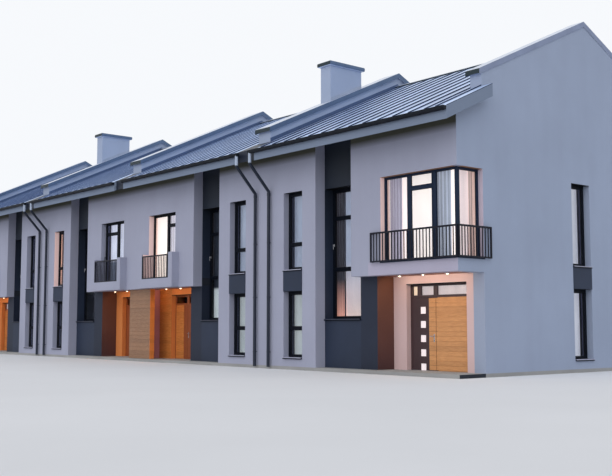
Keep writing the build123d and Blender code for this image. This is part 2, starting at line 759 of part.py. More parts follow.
def balcony_railings():
    railings = []
    for house in ROW:
        if house.is_end:
            continue
        u0, u1 = ordered(house.x(BALCONY_WINDOW_START), house.x(BALCONY_WINDOW_END))
        place = Pos(0, FRONT - BALCONY_DEPTH, 0)
        railings.append(place * railing(u0, u1, BALCONY_SILL_Z, RAIL_TOP_Z))
    return railings


def corner_railing_front():
    place = Pos(0, FRONT - CORNER_RAIL_GAP - RAIL_RAIL_T, 0)
    start = RIGHT - CORNER_RAIL_START
    rails = place * railing(start, RIGHT + CORNER_RAIL_GAP, CORNER_SILL_Z, RAIL_TOP_Z)
    for z in (CORNER_SILL_Z, RAIL_TOP_Z - RAIL_RAIL_H):
        rails += block(start, start + RAIL_RAIL_T, -CORNER_RAIL_GAP, 0, z, z + RAIL_RAIL_H)
    return [rails]


def corner_railing_side():
    place = Pos(RIGHT + CORNER_RAIL_GAP + RAIL_RAIL_T, FRONT, 0) * Rot(0, 0, 90)
    rails = place * railing(-CORNER_RAIL_GAP, CORNER_RAIL_END, CORNER_SILL_Z, RAIL_TOP_Z)
    for z in (CORNER_SILL_Z, RAIL_TOP_Z - RAIL_RAIL_H):
        rails += block(RIGHT, RIGHT + CORNER_RAIL_GAP, CORNER_RAIL_END - RAIL_RAIL_T, CORNER_RAIL_END,
                       z, z + RAIL_RAIL_H)
    return [rails]


def porch_soffits():
    """The boarded ceilings of the porches, between the front face and the entrance walls."""
    return [in_house(h, PORCH_START, h.inner_far, WALL_T, PORCH_DEPTH, SOFFIT_Z, SLAB_UNDER_Z) for h in ROW]


def light_places(house):
    """Ceiling lights: one even row where two porches meet, and centred in a porch of its own."""
    if house.shares_porch:
        return [HOUSE_W - LIGHT_PITCH_SHARED * (i + 0.5) for i in range(LIGHTS)]
    middle = (PORCH_START + house.width) / 2
    return [middle + LIGHT_PITCH_SINGLE * (i - (LIGHTS - 1) / 2) for i in range(LIGHTS)]


def porch_lights():
    lights = []
    for house in ROW:
        for d in light_places(house):
            disc = Pos(house.x(d), FRONT + LIGHT_SET, SOFFIT_Z - LIGHT_T / 2) * Cylinder(LIGHT_R, LIGHT_T)
            lights.append(disc)
    return lights


def porch_screens():
    """Wooden screens centred on the party lines where two porches meet."""
    screens = []
    for i, line in enumerate(PARTY):
        if is_porch_line(i):
            screens.append(block(line - PORCH_SCREEN_W / 2, line + PORCH_SCREEN_W / 2, PORCH_SCREEN_SET,
                                 PORCH_SCREEN_SET + PORCH_SCREEN_T, SLAB_T, SOFFIT_Z))
    return screens


def porch_dividers():
    """The short dark walls behind the screens, which part two porches."""
    half = PORCH_DIVIDER_T / 2
    y0 = PORCH_SCREEN_SET + PORCH_SCREEN_T
    return [block(line - half, line + half, y0, PORCH_DEPTH, SLAB_T, SOFFIT_Z)
            for i, line in enumerate(PARTY) if is_porch_line(i)]


def leaf_edges():
    """The leaf's hinge edge and lock edge, counted from the party line."""
    hinge = DOOR_OPENING_START + DOOR_FRAME_W + LEAF_GAP
    return hinge, hinge + LEAF_W


def lock_post(house):
    """The post between the leaf and the fixed panel, which is wider in every second house."""
    lock = leaf_edges()[1] + LOCK_GAP
    return lock, lock + house.post_w


def door_posts():
    """The two jambs of each entrance and the post between the leaf and the fixed panel."""
    posts = []
    for house in ROW:
        near = (DOOR_OPENING_START, DOOR_OPENING_START + DOOR_FRAME_W)
        far = (house.door_end - DOOR_FRAME_W, house.door_end)
        for d0, d1 in (near, lock_post(house), far):
            posts.append(in_house(house, d0, d1, DOOR_Y, DOOR_Y + LEAF_T, SLAB_T, TRANSOM_Z))
    return posts


def door_transoms():
    """The framed lights above each entrance."""
    frames = []
    y0, y1 = DOOR_Y, DOOR_Y + LEAF_T
    z0, z1 = TRANSOM_Z + DOOR_FRAME_W, DOOR_HEAD_Z - DOOR_FRAME_W
    for house in ROW:
        frame = in_house(house, DOOR_OPENING_START, house.door_end, y0, y1, TRANSOM_Z, DOOR_HEAD_Z)
        frame -= in_house(house, DOOR_OPENING_START + DOOR_FRAME_W, house.door_end - DOOR_FRAME_W,
                          y0 - LEAF_T, y1 + LEAF_T, z0, z1)
        for post in TRANSOM_POSTS:
            d = DOOR_OPENING_START + post
            frame += in_house(house, d - POST_W / 2, d + POST_W / 2, y0, y0 + BAR_T, z0, z1)
        frames.append(frame)
    return frames


def transom_glass():
    y0 = DOOR_Y + BAR_T
    return [in_house(h, DOOR_OPENING_START + DOOR_FRAME_W, h.door_end - DOOR_FRAME_W, y0, y0 + PANE_T,
                     TRANSOM_Z + DOOR_FRAME_W, DOOR_HEAD_Z - DOOR_FRAME_W) for h in ROW]


def side_panels():
    """The fixed wooden panels beside the leaves."""
    return [in_house(h, lock_post(h)[1], h.door_end - DOOR_FRAME_W, DOOR_Y, DOOR_Y + PANEL_T, SLAB_T, TRANSOM_Z)
            for h in ROW]


def hinge_axis():
    """Where the hinge pins stand: from the party line, and behind the front face."""
    return leaf_edges()[0] - LEAF_GAP / 2, DOOR_Y + LEAF_T + HINGE_R + HINGE_GAP


def knuckle(house, z, plate_side):
    """Half a hinge: a barrel round the pin and a plate on the jamb (-1) or on the leaf (+1)."""
    d, y = hinge_axis()
    face = DOOR_Y + LEAF_T
    barrel = Pos(house.x(d), y + FRONT, z + KNUCKLE_H / 2) * Cylinder(HINGE_R, KNUCKLE_H)
    plate = in_house(house, d, d + plate_side * HINGE_PLATE_W, face, face + HINGE_PLATE_T, z, z + KNUCKLE_H)
    return barrel + plate


def door_hinges():
    return [knuckle(house, z - KNUCKLE_H, -1) for house in ROW for z in HINGE_HEIGHTS]


def door_leaf(house):
    """A leaf with a column of small square lights and its halves of the hinges, closed."""
    hinge, lock = leaf_edges()
    leaf = in_house(house, hinge, lock, DOOR_Y, DOOR_Y + LEAF_T, SLAB_T + LEAF_GAP, TRANSOM_Z - LEAF_GAP)
    for i in range(LEAF_LIGHTS):
        top = LEAF_LIGHT_TOP_Z - i * LEAF_LIGHT_PITCH
        d0 = hinge + LEAF_LIGHT_SHIFT
        leaf -= in_house(house, d0, d0 + LEAF_LIGHT, DOOR_Y - LEAF_T, DOOR_Y + LEAF_LIGHT_DEPTH,
                         top - LEAF_LIGHT, top)
    for z in HINGE_HEIGHTS:
        leaf += knuckle(house, z + HINGE_GAP, 1)
    return leaf


def both_slopes(piece, houses):
    return [piece(house, rear) for house in houses for rear in (False, True)]


def main():
    os.makedirs("parts", exist_ok=True)
    export("ground_floor", ground_floor())
    export("upper_floor_front", upper_floor_front())
    export("upper_floor_rear", upper_floor_rear())
    export("gable_wall", gable_wall())
    export("gable_wall_ends", gable_wall_ends())
    for i, line in enumerate(PARTY):
        name = f"party_wall_{i + 1}"
        if is_porch_line(i):
            export(name, [party_wall(line, SOFFIT_Z)])
            export(name + "_base", [party_wall_base(line)])
        else:
            export(name, [party_wall(line)])
    export("narrow_window_walls", narrow_window_walls())
    export("wall_returns", wall_returns())
    export("strip_walls", strip_walls())
    export("upper_front_walls", upper_front_walls())
    export("porch_side_walls", porch_side_walls())
    export("entrance_walls_near", entrance_walls_near())
    export("entrance_walls_far", entrance_walls_far())
    export("entrance_heads", entrance_heads())
    export("rear_walls", rear_walls())
    export("front_roofs", [roof(h, False) for h in ROW])
    export("rear_roofs", [roof(h, True) for h in ROW])
    export("ridge_caps", [ridge_cap(h) for h in ROW])
    export("front_eaves", [eave_box(h, False) for h in ROW])
    export("rear_eaves", [eave_box(h, True) for h in ROW])
    export("verge_strips", both_slopes(verge_strip, ROW[:1]))
    export("gutters", both_slopes(gutter, ROW))
    pipes = [(line, side, rear) for line in PAIR_LINES for side in (-1, 1) for rear in (False, True)]
    export("downpipes", [downpipe(*pipe) for pipe in pipes])
    export("downpipe_necks", [downpipe_neck(*pipe) for pipe in pipes])
    noses = []
    for i, line in enumerate(PARTY[:-1]):
        half = EAVE_GAP_PLAIN if i % 2 else EAVE_GAP_PIPES
        noses += [party_nose(line, half, rear) for rear in (False, True)]
    export("party_noses", noses)
    export("parapet_caps", [party_cap(line) for line in PARTY] + [gable_cap()])
    export("chimneys", [chimney(line) for line in PAIR_LINES])
    export("chimney_caps", [chimney_cap(line) for line in PAIR_LINES])
    front = narrow_windows() + strip_windows() + balcony_windows()
    gable = gable_windows()
    rear = rear_windows()
    corner_front = corner_window_front()
    corner_side = corner_window_side()
    export("front_window_frames", [w.frame for w in front])
    export("gable_window_frames", [w.frame for w in gable])
    export("rear_window_frames", [w.frame for w in rear])
    export("corner_window_front", [corner_front.frame])
    export("corner_window_side", [corner_side.frame])
    export("front_glass", [w.pane for w in front] + [corner_front.pane])
    export("gable_glass", [w.pane for w in gable] + [corner_side.pane])
    export("rear_glass", [w.pane for w in rear])
    export("spandrel_panels", spandrel_panels())
    export("gable_spandrels", gable_spandrels())
    export("balcony_slabs", balcony_slabs())
    export("balcony_piers", balcony_piers())
    export("balcony_railings", balcony_railings())
    export("corner_railing_front", corner_railing_front())
    export("corner_railing_side", corner_railing_side())
    export("porch_soffits", porch_soffits())
    export("porch_lights", porch_lights())
    export("porch_screens", porch_screens())
    export("porch_dividers", porch_dividers())
    export("door_posts", door_posts())
    export("door_transoms", door_transoms())
    export("transom_glass", transom_glass())
    export("side_panels", side_panels())
    export("door_hinges", door_hinges())
    for house in ROW:
        export(f"door_leaf_{house.name}", [door_leaf(house)])


main()
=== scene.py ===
import json
import math
import bmesh
import bpy
from mathutils import Matrix, Vector

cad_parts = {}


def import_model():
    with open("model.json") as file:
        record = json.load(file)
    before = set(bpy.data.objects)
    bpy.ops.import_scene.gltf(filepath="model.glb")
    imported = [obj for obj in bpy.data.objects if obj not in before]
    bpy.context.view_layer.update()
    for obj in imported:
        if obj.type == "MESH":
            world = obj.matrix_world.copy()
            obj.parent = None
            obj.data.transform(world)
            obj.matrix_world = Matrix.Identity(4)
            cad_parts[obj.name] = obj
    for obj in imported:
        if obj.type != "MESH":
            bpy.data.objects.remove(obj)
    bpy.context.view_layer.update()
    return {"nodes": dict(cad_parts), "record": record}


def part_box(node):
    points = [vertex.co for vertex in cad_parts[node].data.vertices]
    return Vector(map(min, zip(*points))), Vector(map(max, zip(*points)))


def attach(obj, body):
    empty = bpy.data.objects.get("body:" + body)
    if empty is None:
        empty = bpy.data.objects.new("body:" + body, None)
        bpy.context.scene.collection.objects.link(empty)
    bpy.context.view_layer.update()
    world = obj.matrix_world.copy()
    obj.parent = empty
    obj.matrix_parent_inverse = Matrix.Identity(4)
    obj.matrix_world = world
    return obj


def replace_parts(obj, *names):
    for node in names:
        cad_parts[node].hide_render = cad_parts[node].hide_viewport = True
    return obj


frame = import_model()

# The camera, fitted to the photograph: metres in the row's frame, degrees, and pixels of its width
CAMERA_FROM_GABLE = 16.106
CAMERA_FROM_FRONT = -18.510
CAMERA_HEIGHT = 1.313
CAMERA_YAW = 50.016
CAMERA_PITCH = 5.234
FOCAL_PIXELS = 962.756
PHOTO_WIDTH = 612
SENSOR_MM = 36.0
CLIP_END = 300
FLOOR_REACH = 400

# Sizes of the row in metres, as in the model
HOUSE_W = 8.0
DEPTH = 11.5
WALL_T = 0.37
PARTY_T = 0.6
SLAB_T = 0.1
NARROW = (0.988, 1.877)
STRIP = (2.496, 4.054)
BALCONY_WINDOW = (5.239, 7.057)
PORCH_START = 4.731
PORCH_DEPTH = 1.017
SOFFIT_Z = 2.707
HEAD_Z = 5.41
UPPER_SILL_Z = 3.007
LOWER_HEAD_Z = 2.374
LOWER_SILL_Z = 0.35
STRIP_SILL_Z = 1.5
CORNER_SILL_Z = 3.062
BALCONY_SILL_Z = 3.04
UPPER_RAIL_Z = 3.816
LOWER_RAIL_Z = 1.25
STRIP_RAILS = (3.0, 4.535)
BALCONY_RAIL_Z = 4.985
CORNER_RAIL_Z = 5.005
CORNER_WINDOW_W = 2.772
CORNER_POSTS = (1.827, 0.924)
GABLE_WINDOW = (4.934, 5.827)
BALCONY_POST = 1.025
BALCONY_DEPTH = 0.29
BALCONY_PIER_Z = 3.95
RAILING_T = 0.042
FRAME_SET = 0.2
CORNER_FRAME_SET = 0.15
STRIP_FRAME_SET = 0.33
STRIP_WALL_T = 0.45
FRAME_T = 0.08
FRAME_W = 0.1
SLIM_FRAME_W = 0.06
POST_W = 0.14
RAIL_W = 0.11
BAR_T = 0.05
SILL_T = 0.02
SILL_OUT = 0.045
CORNER_EDGE_W = 0.04
REAR_WINDOW_W = 1.8
REAR_WINDOW_Z = (0.95, 2.25)
REAR_SHARES = (0.27, 0.73)
FLOORS = (0.1, 3.0)
SLOPE = math.tan(math.radians(25))
EAVE_OVERHANG = 0.79
EAVE_TOP_Z = 6.78
ROOF_T = 0.35
SHEET_T = 0.02
PARAPET_H = 0.37
CAP_T = 0.13
VERGE_OVERHANG = 0.38
GUTTER_W = 0.12
GUTTER_H = 0.11
EAVE_GAP_PLAIN = 0.34
PIPE_R = 0.05
PIPE_GAP = 0.05
PIPE_X = 0.35
PIPE_KNEE_Z = 5.53
PIPE_NECK_Z = 6.34
CHIMNEY_W = 0.5
CHIMNEY_Y = (2.6, 4.02)
DOOR_START = 5.228
DOOR_FAR_WIDE = 0.58
DOOR_FAR = 0.97
TRANSOM_Z = 2.1
DOOR_SET = 0.17
DOOR_HEAD_Z = 2.487
TRANSOM_POST = 0.336
DOOR_FRAME_W = 0.07
LEAF_W = 0.88
LEAF_T = 0.076
LEAF_GAP = 0.006
LOCK_GAP = 0.012
LOCK_POST_W = 0.236       # beside the leaf, where a house lies left of its party line
LEAF_LIGHT = 0.215
LEAF_LIGHTS = 5
LEAF_LIGHT_PITCH = 0.39
LEAF_LIGHT_TOP_Z = 1.86
LEAF_LIGHT_SHIFT = 0.288
LEAF_LIGHT_DEPTH = 0.025
SCREEN_W = 1.51
SCREEN_Y = (0.2, 0.4)
LIGHT_R = 0.06
LIGHT_T = 0.02
LIGHT_SET = 0.47
LIGHTS = 3
LIGHT_PITCH_SHARED = 0.965
LIGHT_PITCH_SINGLE = 0.87

# Sizes of the pieces that only the scene has
BOARDS_START = 0.628
BOARD_T = 0.014
BOARD_GROOVE = 0.004
PANEL_BOARD = 0.135
SCREEN_BOARD = 0.148
SCREEN_CORE = 0.01         # how far the core stays inside the boards
BOARD_FOOT = 0.015        # from the floor slab up to the lowest board
BOARD_HEAD = 0.012
BOARD_TRIM = 0.002
CLEAR = 0.001             # between a piece and what it stays off
TOUCH = 0.0005            # between two pieces that look joined
SHARP = 0.6               # radians, from which an edge is bevelled
SASH_IN = 0.006
SASH_FRONT = 0.012
BEAD_SET = 0.022
SEAL_W = 0.005
SEAL_T = 0.012
LINER_T = 0.004
HEAD_LINER_T = 0.022
COVER_T = 0.003
COVER_LIP = 0.016
STAIR_HANDLE_Z = 3.72
BALCONY_HANDLE_Z = 4.05
HANDLE_SIDE = 0.02        # from the edge of the light to the handle's middle
WINDOW_PLATE = (0.015, 0.01, -0.035, 0.045)  # half its width, its thickness, its foot and top
WINDOW_STEM = (0.048, 0.04, 0.02)  # how far out it starts, its length, its height
WINDOW_GRIP = (0.012, 0.044, 0.058, -0.11, 0.034)  # half its width, its two faces, its foot and top
RAIL_OVER_HEAD = 0.07
RAIL_R = 0.014
RAIL_END = 0.04
RAIL_FOOT = 0.02
CLOTH_FOOT = 0.01
BLIND_DEPTH = 0.25
CLOTH_LAP = 0.1           # past the side of its window, inside the room
FOLD_STEPS = 12
FLASHING_H = 0.12
FLASHING_T = 0.008
FLASHING_FOOT = 0.09
FLASHING_FOOT_T = 0.01
BRACKET_W = 0.03
BRACKET_T = 0.005
BRACKET_PITCH = 0.8
BRACKET_START = 0.56
BRACKET_END = 0.06
BRACKET_DROP = (0.012, 0.03)  # its two ends under the roof's edge, at the eave and in front
ARC_STEPS = 8
CLAMP_HEIGHTS = (0.5, 2.2, 3.9)
CLAMP_H = 0.035
CLAMP_T = 0.006
CLAMP_STEM_Z = (0.008, 0.027)
CLAMP_STEM_W = 0.016
SLEEVE_UNDER_KNEE = 0.13
SLEEVE_H = 0.09
SLEEVE_T = 0.007
RING_W = 0.014
RING_DROP = 0.004
DOME_R = 0.028
DOME_DROP = 0.022
LEAF_BEAD = 0.012
HANDLE_BACKSET = 0.062
DOOR_PLATE = (0.02, 0.008, 0.88, 1.1)  # half its width, its thickness, its foot and top
DOOR_GRIP = (0.01, 0.044, 0.06)  # half its height, and its two faces from the door's
DOOR_STEM = 0.05
LOCK_R = 0.012
LOCK_OUT = 0.008
HANDLE_Z = 1.04
HANDLE_REACH = 0.125
LOCK_Z = 0.93
LEVER_R = 0.009
THRESHOLD_OUT = 0.01
THRESHOLD_T = 0.003
RAILING_BAR = 0.04
GRIP_OUT = 0.003
GRIP_T = 0.008
# Heights of the painted eave shadow on the wall render
EAVE_BAND_Z = (6.32, 6.54)

# Lamps
END_PORCH_WATTS = 9.6
END_WALL_LAMP = (5.05, 1.1)
PORCH_WATTS = 5.2
PORCH_SPOT = 175.0
PORCH_SPOT_BLEND = 0.3
LAMP_DROP = 0.02          # under the lens
LAMP_TURN = (0, 0.8, -1)
END_LAMP_COLOUR = (1.0, 0.77, 0.54)
LAMP_COLOUR = (1.0, 0.6, 0.28)

(_, FRONT, _), (RIGHT, REAR, _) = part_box("ground_floor")
DOOR_Y = FRONT + PORCH_DEPTH + DOOR_SET
LEAF_START = DOOR_START + DOOR_FRAME_W + LEAF_GAP
LOCK_EDGE = LEAF_START + LEAF_W


def middle(node):
    """Where a node's middle is along the row."""
    low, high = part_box(node)
    return (low[0] + high[0]) / 2


PARTY = [middle(f"party_wall_{i}") for i in (1, 2, 3, 4)]
PAIR_LINES = PARTY[0::2]


class House:
    """A house, with its distances counted from the party line that it shares with its pair."""

    def __init__(self, index):
        self.name = "abcd"[index]
        self.ref = PARTY[index - index % 2]
        self.s = -1 if index % 2 else 1
        self.is_end = index == 0
        self.width = RIGHT - PARTY[0] if self.is_end else HOUSE_W
        self.inner_far = self.width - (WALL_T if self.is_end else PARTY_T / 2)
        self.door_end = HOUSE_W - (DOOR_FAR if self.s < 0 else DOOR_FAR_WIDE)

    def x(self, d):
        return self.ref + self.s * d

    def span(self, near, far):
        """Two of its distances as places along the row, the left one first."""
        return sorted((self.x(near), self.x(far)))

    def lamps(self):
        """The distances of its porch's ceiling lights. Two porches that meet share one row of them."""
        if self.name in "bc":
            return [HOUSE_W - LIGHT_PITCH_SHARED * (i + 0.5) for i in range(LIGHTS)]
        centre = (PORCH_START + self.width) / 2
        return [centre + LIGHT_PITCH_SINGLE * (i - 1) for i in range(LIGHTS)]


ROW = [House(i) for i in range(4)]


def roof_z(y, lift=0.0):
    """The height of the roof y behind the front face, or lift over it."""
    run = min(y, DEPTH - y)
    return EAVE_TOP_Z + SLOPE * (run + EAVE_OVERHANG) + lift


def linear(colour):
    """An sRGB colour written 0 to 255, as Blender's linear RGBA. A socket stays what it is."""
    if isinstance(colour, bpy.types.NodeSocket):
        return colour
    return tuple(((c / 255 + 0.055) / 1.055) ** 2.4 if c > 10 else c / 255 / 12.92 for c in colour) + (1.0,)


class Look:
    """A procedural material in the row's own metres, put together node by node.

    Its colours are sRGB, written 0 to 255, or sockets.
    """

    def __init__(self, name, rough=0.6, metal=0.0, shine=0.5):
        self.mat = bpy.data.materials.new(name)
        self.mat.use_nodes = True
        self.tree = self.mat.node_tree
        self.shader = self.tree.nodes["Principled BSDF"]
        self.shader.inputs["Roughness"].default_value = rough
        self.shader.inputs["Metallic"].default_value = metal
        self.shader.inputs["Specular IOR Level"].default_value = shine
        source = self.tree.nodes.new("ShaderNodeTexCoord")
        self.place = source.outputs["Object"]
        self.normal = source.outputs["Normal"]

    def node(self, kind, inputs=(), **settings):
        """A node with its settings, and its inputs as (name or number, value or socket)."""
        new = self.tree.nodes.new("ShaderNode" + kind)
        for key, value in settings.items():
            setattr(new, key, value)
        for key, value in inputs:
            if isinstance(value, bpy.types.NodeSocket):
                self.tree.links.new(value, new.inputs[key])
            else:
                new.inputs[key].default_value = value
        return new.outputs[0]

    def math(self, operation, a, b=0.0):
        return self.node("Math", [(0, a), (1, b)], operation=operation)

    def times(self, a, b):
        return self.math("MULTIPLY", a, b)

    def axis(self, letter, of=None):
        split = self.tree.nodes.new("ShaderNodeSeparateXYZ")
        self.tree.links.new(of or self.place, split.inputs[0])
        return split.outputs[letter]

    def past(self, letter, limit):
        """1 where an axis is over a limit."""
        return self.math("GREATER_THAN", self.axis(letter), limit)

    def before(self, letter, limit):
        """1 where an axis is under a limit."""
        return self.math("LESS_THAN", self.axis(letter), limit)

    def noise(self, scale, detail=3.0, stretch=(1, 1, 1)):
        """Noise with scale cells to a metre, which stretch makes denser along an axis."""
        spot = self.node("Mapping", [("Vector", self.place), ("Scale", stretch)])
        return self.node("TexNoise", [("Vector", spot), ("Scale", scale), ("Detail", detail)])

    def span(self, value, low, high, to_low=0.0, to_high=1.0):
        return self.node("MapRange", [(0, value), (1, low), (2, high), (3, to_low), (4, to_high)])

    def cloud(self, low, high, *noise):
        """Noise spread over the range from low to high."""
        return self.span(self.noise(*noise), 0.3, 0.7, low, high)

    def mix(self, share, a, b):
        return self.node("MixRGB", [("Fac", share), ("Color1", linear(a)), ("Color2", linear(b))])

    def scaled(self, colour, value):
        """A colour made darker or paler by a value."""
        inputs = [("Fac", 1.0), ("Color1", linear(colour)), ("Color2", value)]
        return self.node("MixRGB", inputs, blend_type="MULTIPLY")

    def faces(self, letter, limit=0.6, sign=0):
        """1 on the faces that look along one axis, to either side or only to one."""
        part = self.axis(letter, self.normal)
        part = self.times(part, sign) if sign else self.math("ABSOLUTE", part)
        return self.math("GREATER_THAN", part, limit)

    def colour(self, socket):
        self.tree.links.new(socket, self.shader.inputs["Base Color"])

    def rough(self, socket):
        self.tree.links.new(socket, self.shader.inputs["Roughness"])

    def below(self, level, fade):
        """1 under a height in metres, fading to 0 above it."""
        return self.span(self.axis("Z"), level - fade / 2, level + fade / 2, 1.0, 0.0)

    def lit_porches(self):
        """1 in the porches of every house but the end one, where the lamps are warmer."""
        return self.before("X", PARTY[0])

    def bump(self, height, distance, strength=1.0):
        normal = self.node("Bump", [("Height", height), ("Distance", distance), ("Strength", strength)])
        self.tree.links.new(normal, self.shader.inputs["Normal"])

    def glow(self, colour, strength):
        if isinstance(colour, bpy.types.NodeSocket):
            self.tree.links.new(colour, self.shader.inputs["Emission Color"])
        else:
            self.shader.inputs["Emission Color"].default_value = linear(colour)
        self.shader.inputs["Emission Strength"].default_value = strength


def rendered(name, colour, spread=0.05, warm=None, under=None, lit=0.0, behind=None, below_corner=None,
             gable=None, eaves=None, above=None):
    """Mineral wall render: fine grain, slow patches, and faint streaks that run down the wall.

    warm is its colour in the warmer porches, painted orange lamp light, under that of the faces that
    look down, painted shade, behind that of the parts behind the porches, below_corner that of the band
    under the corner window, gable that of the faces in the plane of the gable, a bluer painted shade,
    eaves that of the painted eave shadow in a band under the soffits, above that over the roofs, and lit
    is how much light from a room falls on it, painted as a glow.
    """
    look = Look(name, 0.92)
    if below_corner:
        band = look.times(look.past("X", RIGHT - CORNER_WINDOW_W - 0.5), look.below(CORNER_SILL_Z, 0.1))
        colour = look.mix(look.times(band, look.before("Y", FRONT + PORCH_DEPTH)), colour, below_corner)
    # Painted eave shadow: wall faces that look along y take the eaves colour in a band under the soffits
    if eaves:
        band = look.times(look.span(look.axis("Z"), *EAVE_BAND_Z), look.faces("Y"))
        under_roof = look.before("Z", roof_z(0.0) - ROOF_T)
        colour = look.mix(look.times(band, under_roof), colour, eaves)
    if above:
        colour = look.mix(look.past("Z", roof_z(0.0) - ROOF_T), colour, above)
    # Painted shade: the gable's outward faces take the bluer colour of the shaded side
    if gable:
        outer = look.past("X", RIGHT - 0.05)
        colour = look.mix(look.times(look.faces("X", 0.6, 1), outer), colour, gable)
    # Painted shade: faces that look down take the under colour
    if under:
        colour = look.mix(look.faces("Z", 0.5, -1), colour, under)
    if lit:
        look.glow(colour, lit)
    # Painted lamp light: in the lit porches the colour turns to the warm one
    if warm:
        colour = look.mix(look.lit_porches(), colour, warm)
    if behind:
        colour = look.mix(look.past("Y", FRONT + 2 * PORCH_DEPTH), colour, behind)
    patches = look.cloud(1 - spread, 1 + spread, 0.45, 4)
    streaks = look.span(look.noise(1.6, 3, (1, 1, 0.12)), 0.35, 0.7, 1, 1 - spread * 0.8)
    grain = look.cloud(0.95, 1.05, 190, 2)
    shade = look.times(look.times(patches, streaks), grain)
    look.colour(look.scaled(colour, shade))
    look.bump(look.noise(230, 3), 0.0022, 0.7)
    return look.mat


def coated(name, colour, rough, metal=0.3, spread=0.08, shine=0.5):
    """Powder coated metal: an even colour, a fine orange-peel surface and a little gathered dust."""
    look = Look(name, rough, metal, shine)
    dust = look.span(look.noise(2.2, 4), 0.35, 0.75, 1 - spread, 1 + spread)
    look.colour(look.scaled(colour, dust))
    look.rough(look.cloud(rough - 0.06, rough + 0.08, 9, 3))
    look.bump(look.noise(420, 2), 0.0004, 0.5)
    return look.mat


def roof_metal():
    """Folded sheet with slow dents in its pans, and a painted dark reflection on the seams' upright sides,
    darkest on the end house.
    """
    look = Look("roof_metal", 0.3, 0.85)
    pans = look.cloud(0.86, 1.12, 0.7, 3, (1.6, 0.5, 1))
    rows = look.span(look.noise(5, 2, (0.2, 1, 1)), 0.35, 0.7, 0.97, 1.04)
    sheet = look.scaled((190, 209, 240), look.times(pans, rows))
    # Painted reflection: the seams' upright sides are darkened, most on the end house
    end_house = look.span(look.axis("X"), PARTY[0] - 1, PARTY[0] + 1)
    seams = look.mix(end_house, (96, 110, 138), (36, 48, 78))
    look.colour(look.mix(look.faces("X"), sheet, seams))
    look.rough(look.cloud(0.36, 0.5, 1.4, 3))
    look.bump(look.noise(1.1, 2, (1.4, 0.6, 1)), 0.005, 0.2)
    return look.mat


def cap_metal():
    """Folded caps with painted light and shade: pale on top, lilac grey at the sides and darker on the
    gable's cap, dark where their ends face the street.
    """
    look = Look("cap_metal", 0.34, 0.7)
    dust = look.cloud(0.92, 1.06, 1.8, 4)
    # Painted light and shade: a pale top, shaded sides, the gable cap's darker, and dark ends
    gable = look.past("X", RIGHT - WALL_T)
    side = look.mix(gable, (86, 104, 132), (126, 136, 162))
    sides = look.mix(look.faces("X"), (205, 212, 226), side)
    ends = look.mix(look.faces("Y", 0.75), sides, (44, 56, 62))
    look.colour(look.scaled(ends, dust))
    look.rough(look.cloud(0.36, 0.5, 3, 3))
    look.bump(look.noise(1.6, 2), 0.006, 0.5)
    return look.mat


def boards(name, light, dark, pitch, base, warm=None, ends=None):
    """Oiled level boards: every board has its own shade, and the grain runs along it."""
    look = Look(name, 0.5)
    # Painted lamp light: the lit porches take the warm colours
    if warm:
        light = look.mix(look.lit_porches(), light, warm[0])
        dark = look.mix(look.lit_porches(), dark, warm[1])
    board = look.math("FLOOR", look.math("DIVIDE", look.math("SUBTRACT", look.axis("Z"), base), pitch))
    own = look.node("TexWhiteNoise", [("W", board)], noise_dimensions="1D")
    grain = look.noise(6, 5, (1, 1, 14))
    colour = look.mix(look.span(grain, 0.3, 0.75), light, dark)
    # Painted lamp light: the faces that look along x take the ends colour
    if ends:
        colour = look.mix(look.faces("X"), colour, ends)
    look.colour(look.scaled(colour, look.span(own, 0, 1, 0.9, 1.08)))
    look.rough(look.span(grain, 0.3, 0.7, 0.42, 0.6))
    look.bump(grain, 0.0015, 0.6)
    return look.mat


def stained(name, colour, rough=0.45, warm=None):
    """Dark stained wood with upright grain."""
    look = Look(name, rough)
    # Painted lamp light: the lit porches take the warm colour
    if warm:
        colour = look.mix(look.lit_porches(), colour, warm)
    grain = look.noise(7, 5, (12, 12, 0.7))
    look.colour(look.scaled(colour, look.span(grain, 0.3, 0.7, 0.8, 1.2)))
    look.rough(look.span(grain, 0.3, 0.7, rough - 0.06, rough + 0.1))
    look.bump(grain, 0.001, 0.6)
    return look.mat


def soffit_boards():
    """Reddish ceiling boards, with grooves that run along the row."""
    look = Look("soffit_boards", 0.55)
    lane = look.math("FRACT", look.math("DIVIDE", look.axis("Y"), 0.12))
    groove = look.math("LESS_THAN", lane, 0.07)
    grain = look.noise(6, 4, (0.6, 9, 9))
    wood = look.scaled((128, 78, 62), look.span(grain, 0.3, 0.7, 0.8, 1.18))
    look.colour(look.mix(groove, wood, (40, 24, 20)))
    look.bump(look.math("SUBTRACT", look.times(grain, 0.2), groove), 0.003, 0.6)
    return look.mat


def porch_side():
    """Dark panels whose porch side is stained wood red-brown, with painted lamp light that makes it lighter
    towards the top.
    """
    look = Look("porch_side", 0.6, shine=0.33)
    grain = look.cloud(0.9, 1.1, 1.2, 4)
    # Painted lamp light: the porch side is lighter towards the ceiling lamps
    inner = look.mix(look.below(1.4, 2.4), (112, 72, 56), (78, 50, 50))
    across = look.axis("X")
    house = look.math("SIGN", look.math("SUBTRACT", across, PARTY[0]))
    for line in PARTY[1:3]:
        house = look.times(house, look.math("SIGN", look.math("SUBTRACT", across, line)))
    toward = look.times(look.axis("X", look.normal), house)
    side = look.mix(look.math("GREATER_THAN", toward, 0.6), (28, 36, 54), inner)
    look.colour(look.scaled(side, grain))
    look.bump(look.noise(160, 2), 0.0012, 0.5)
    return look.mat


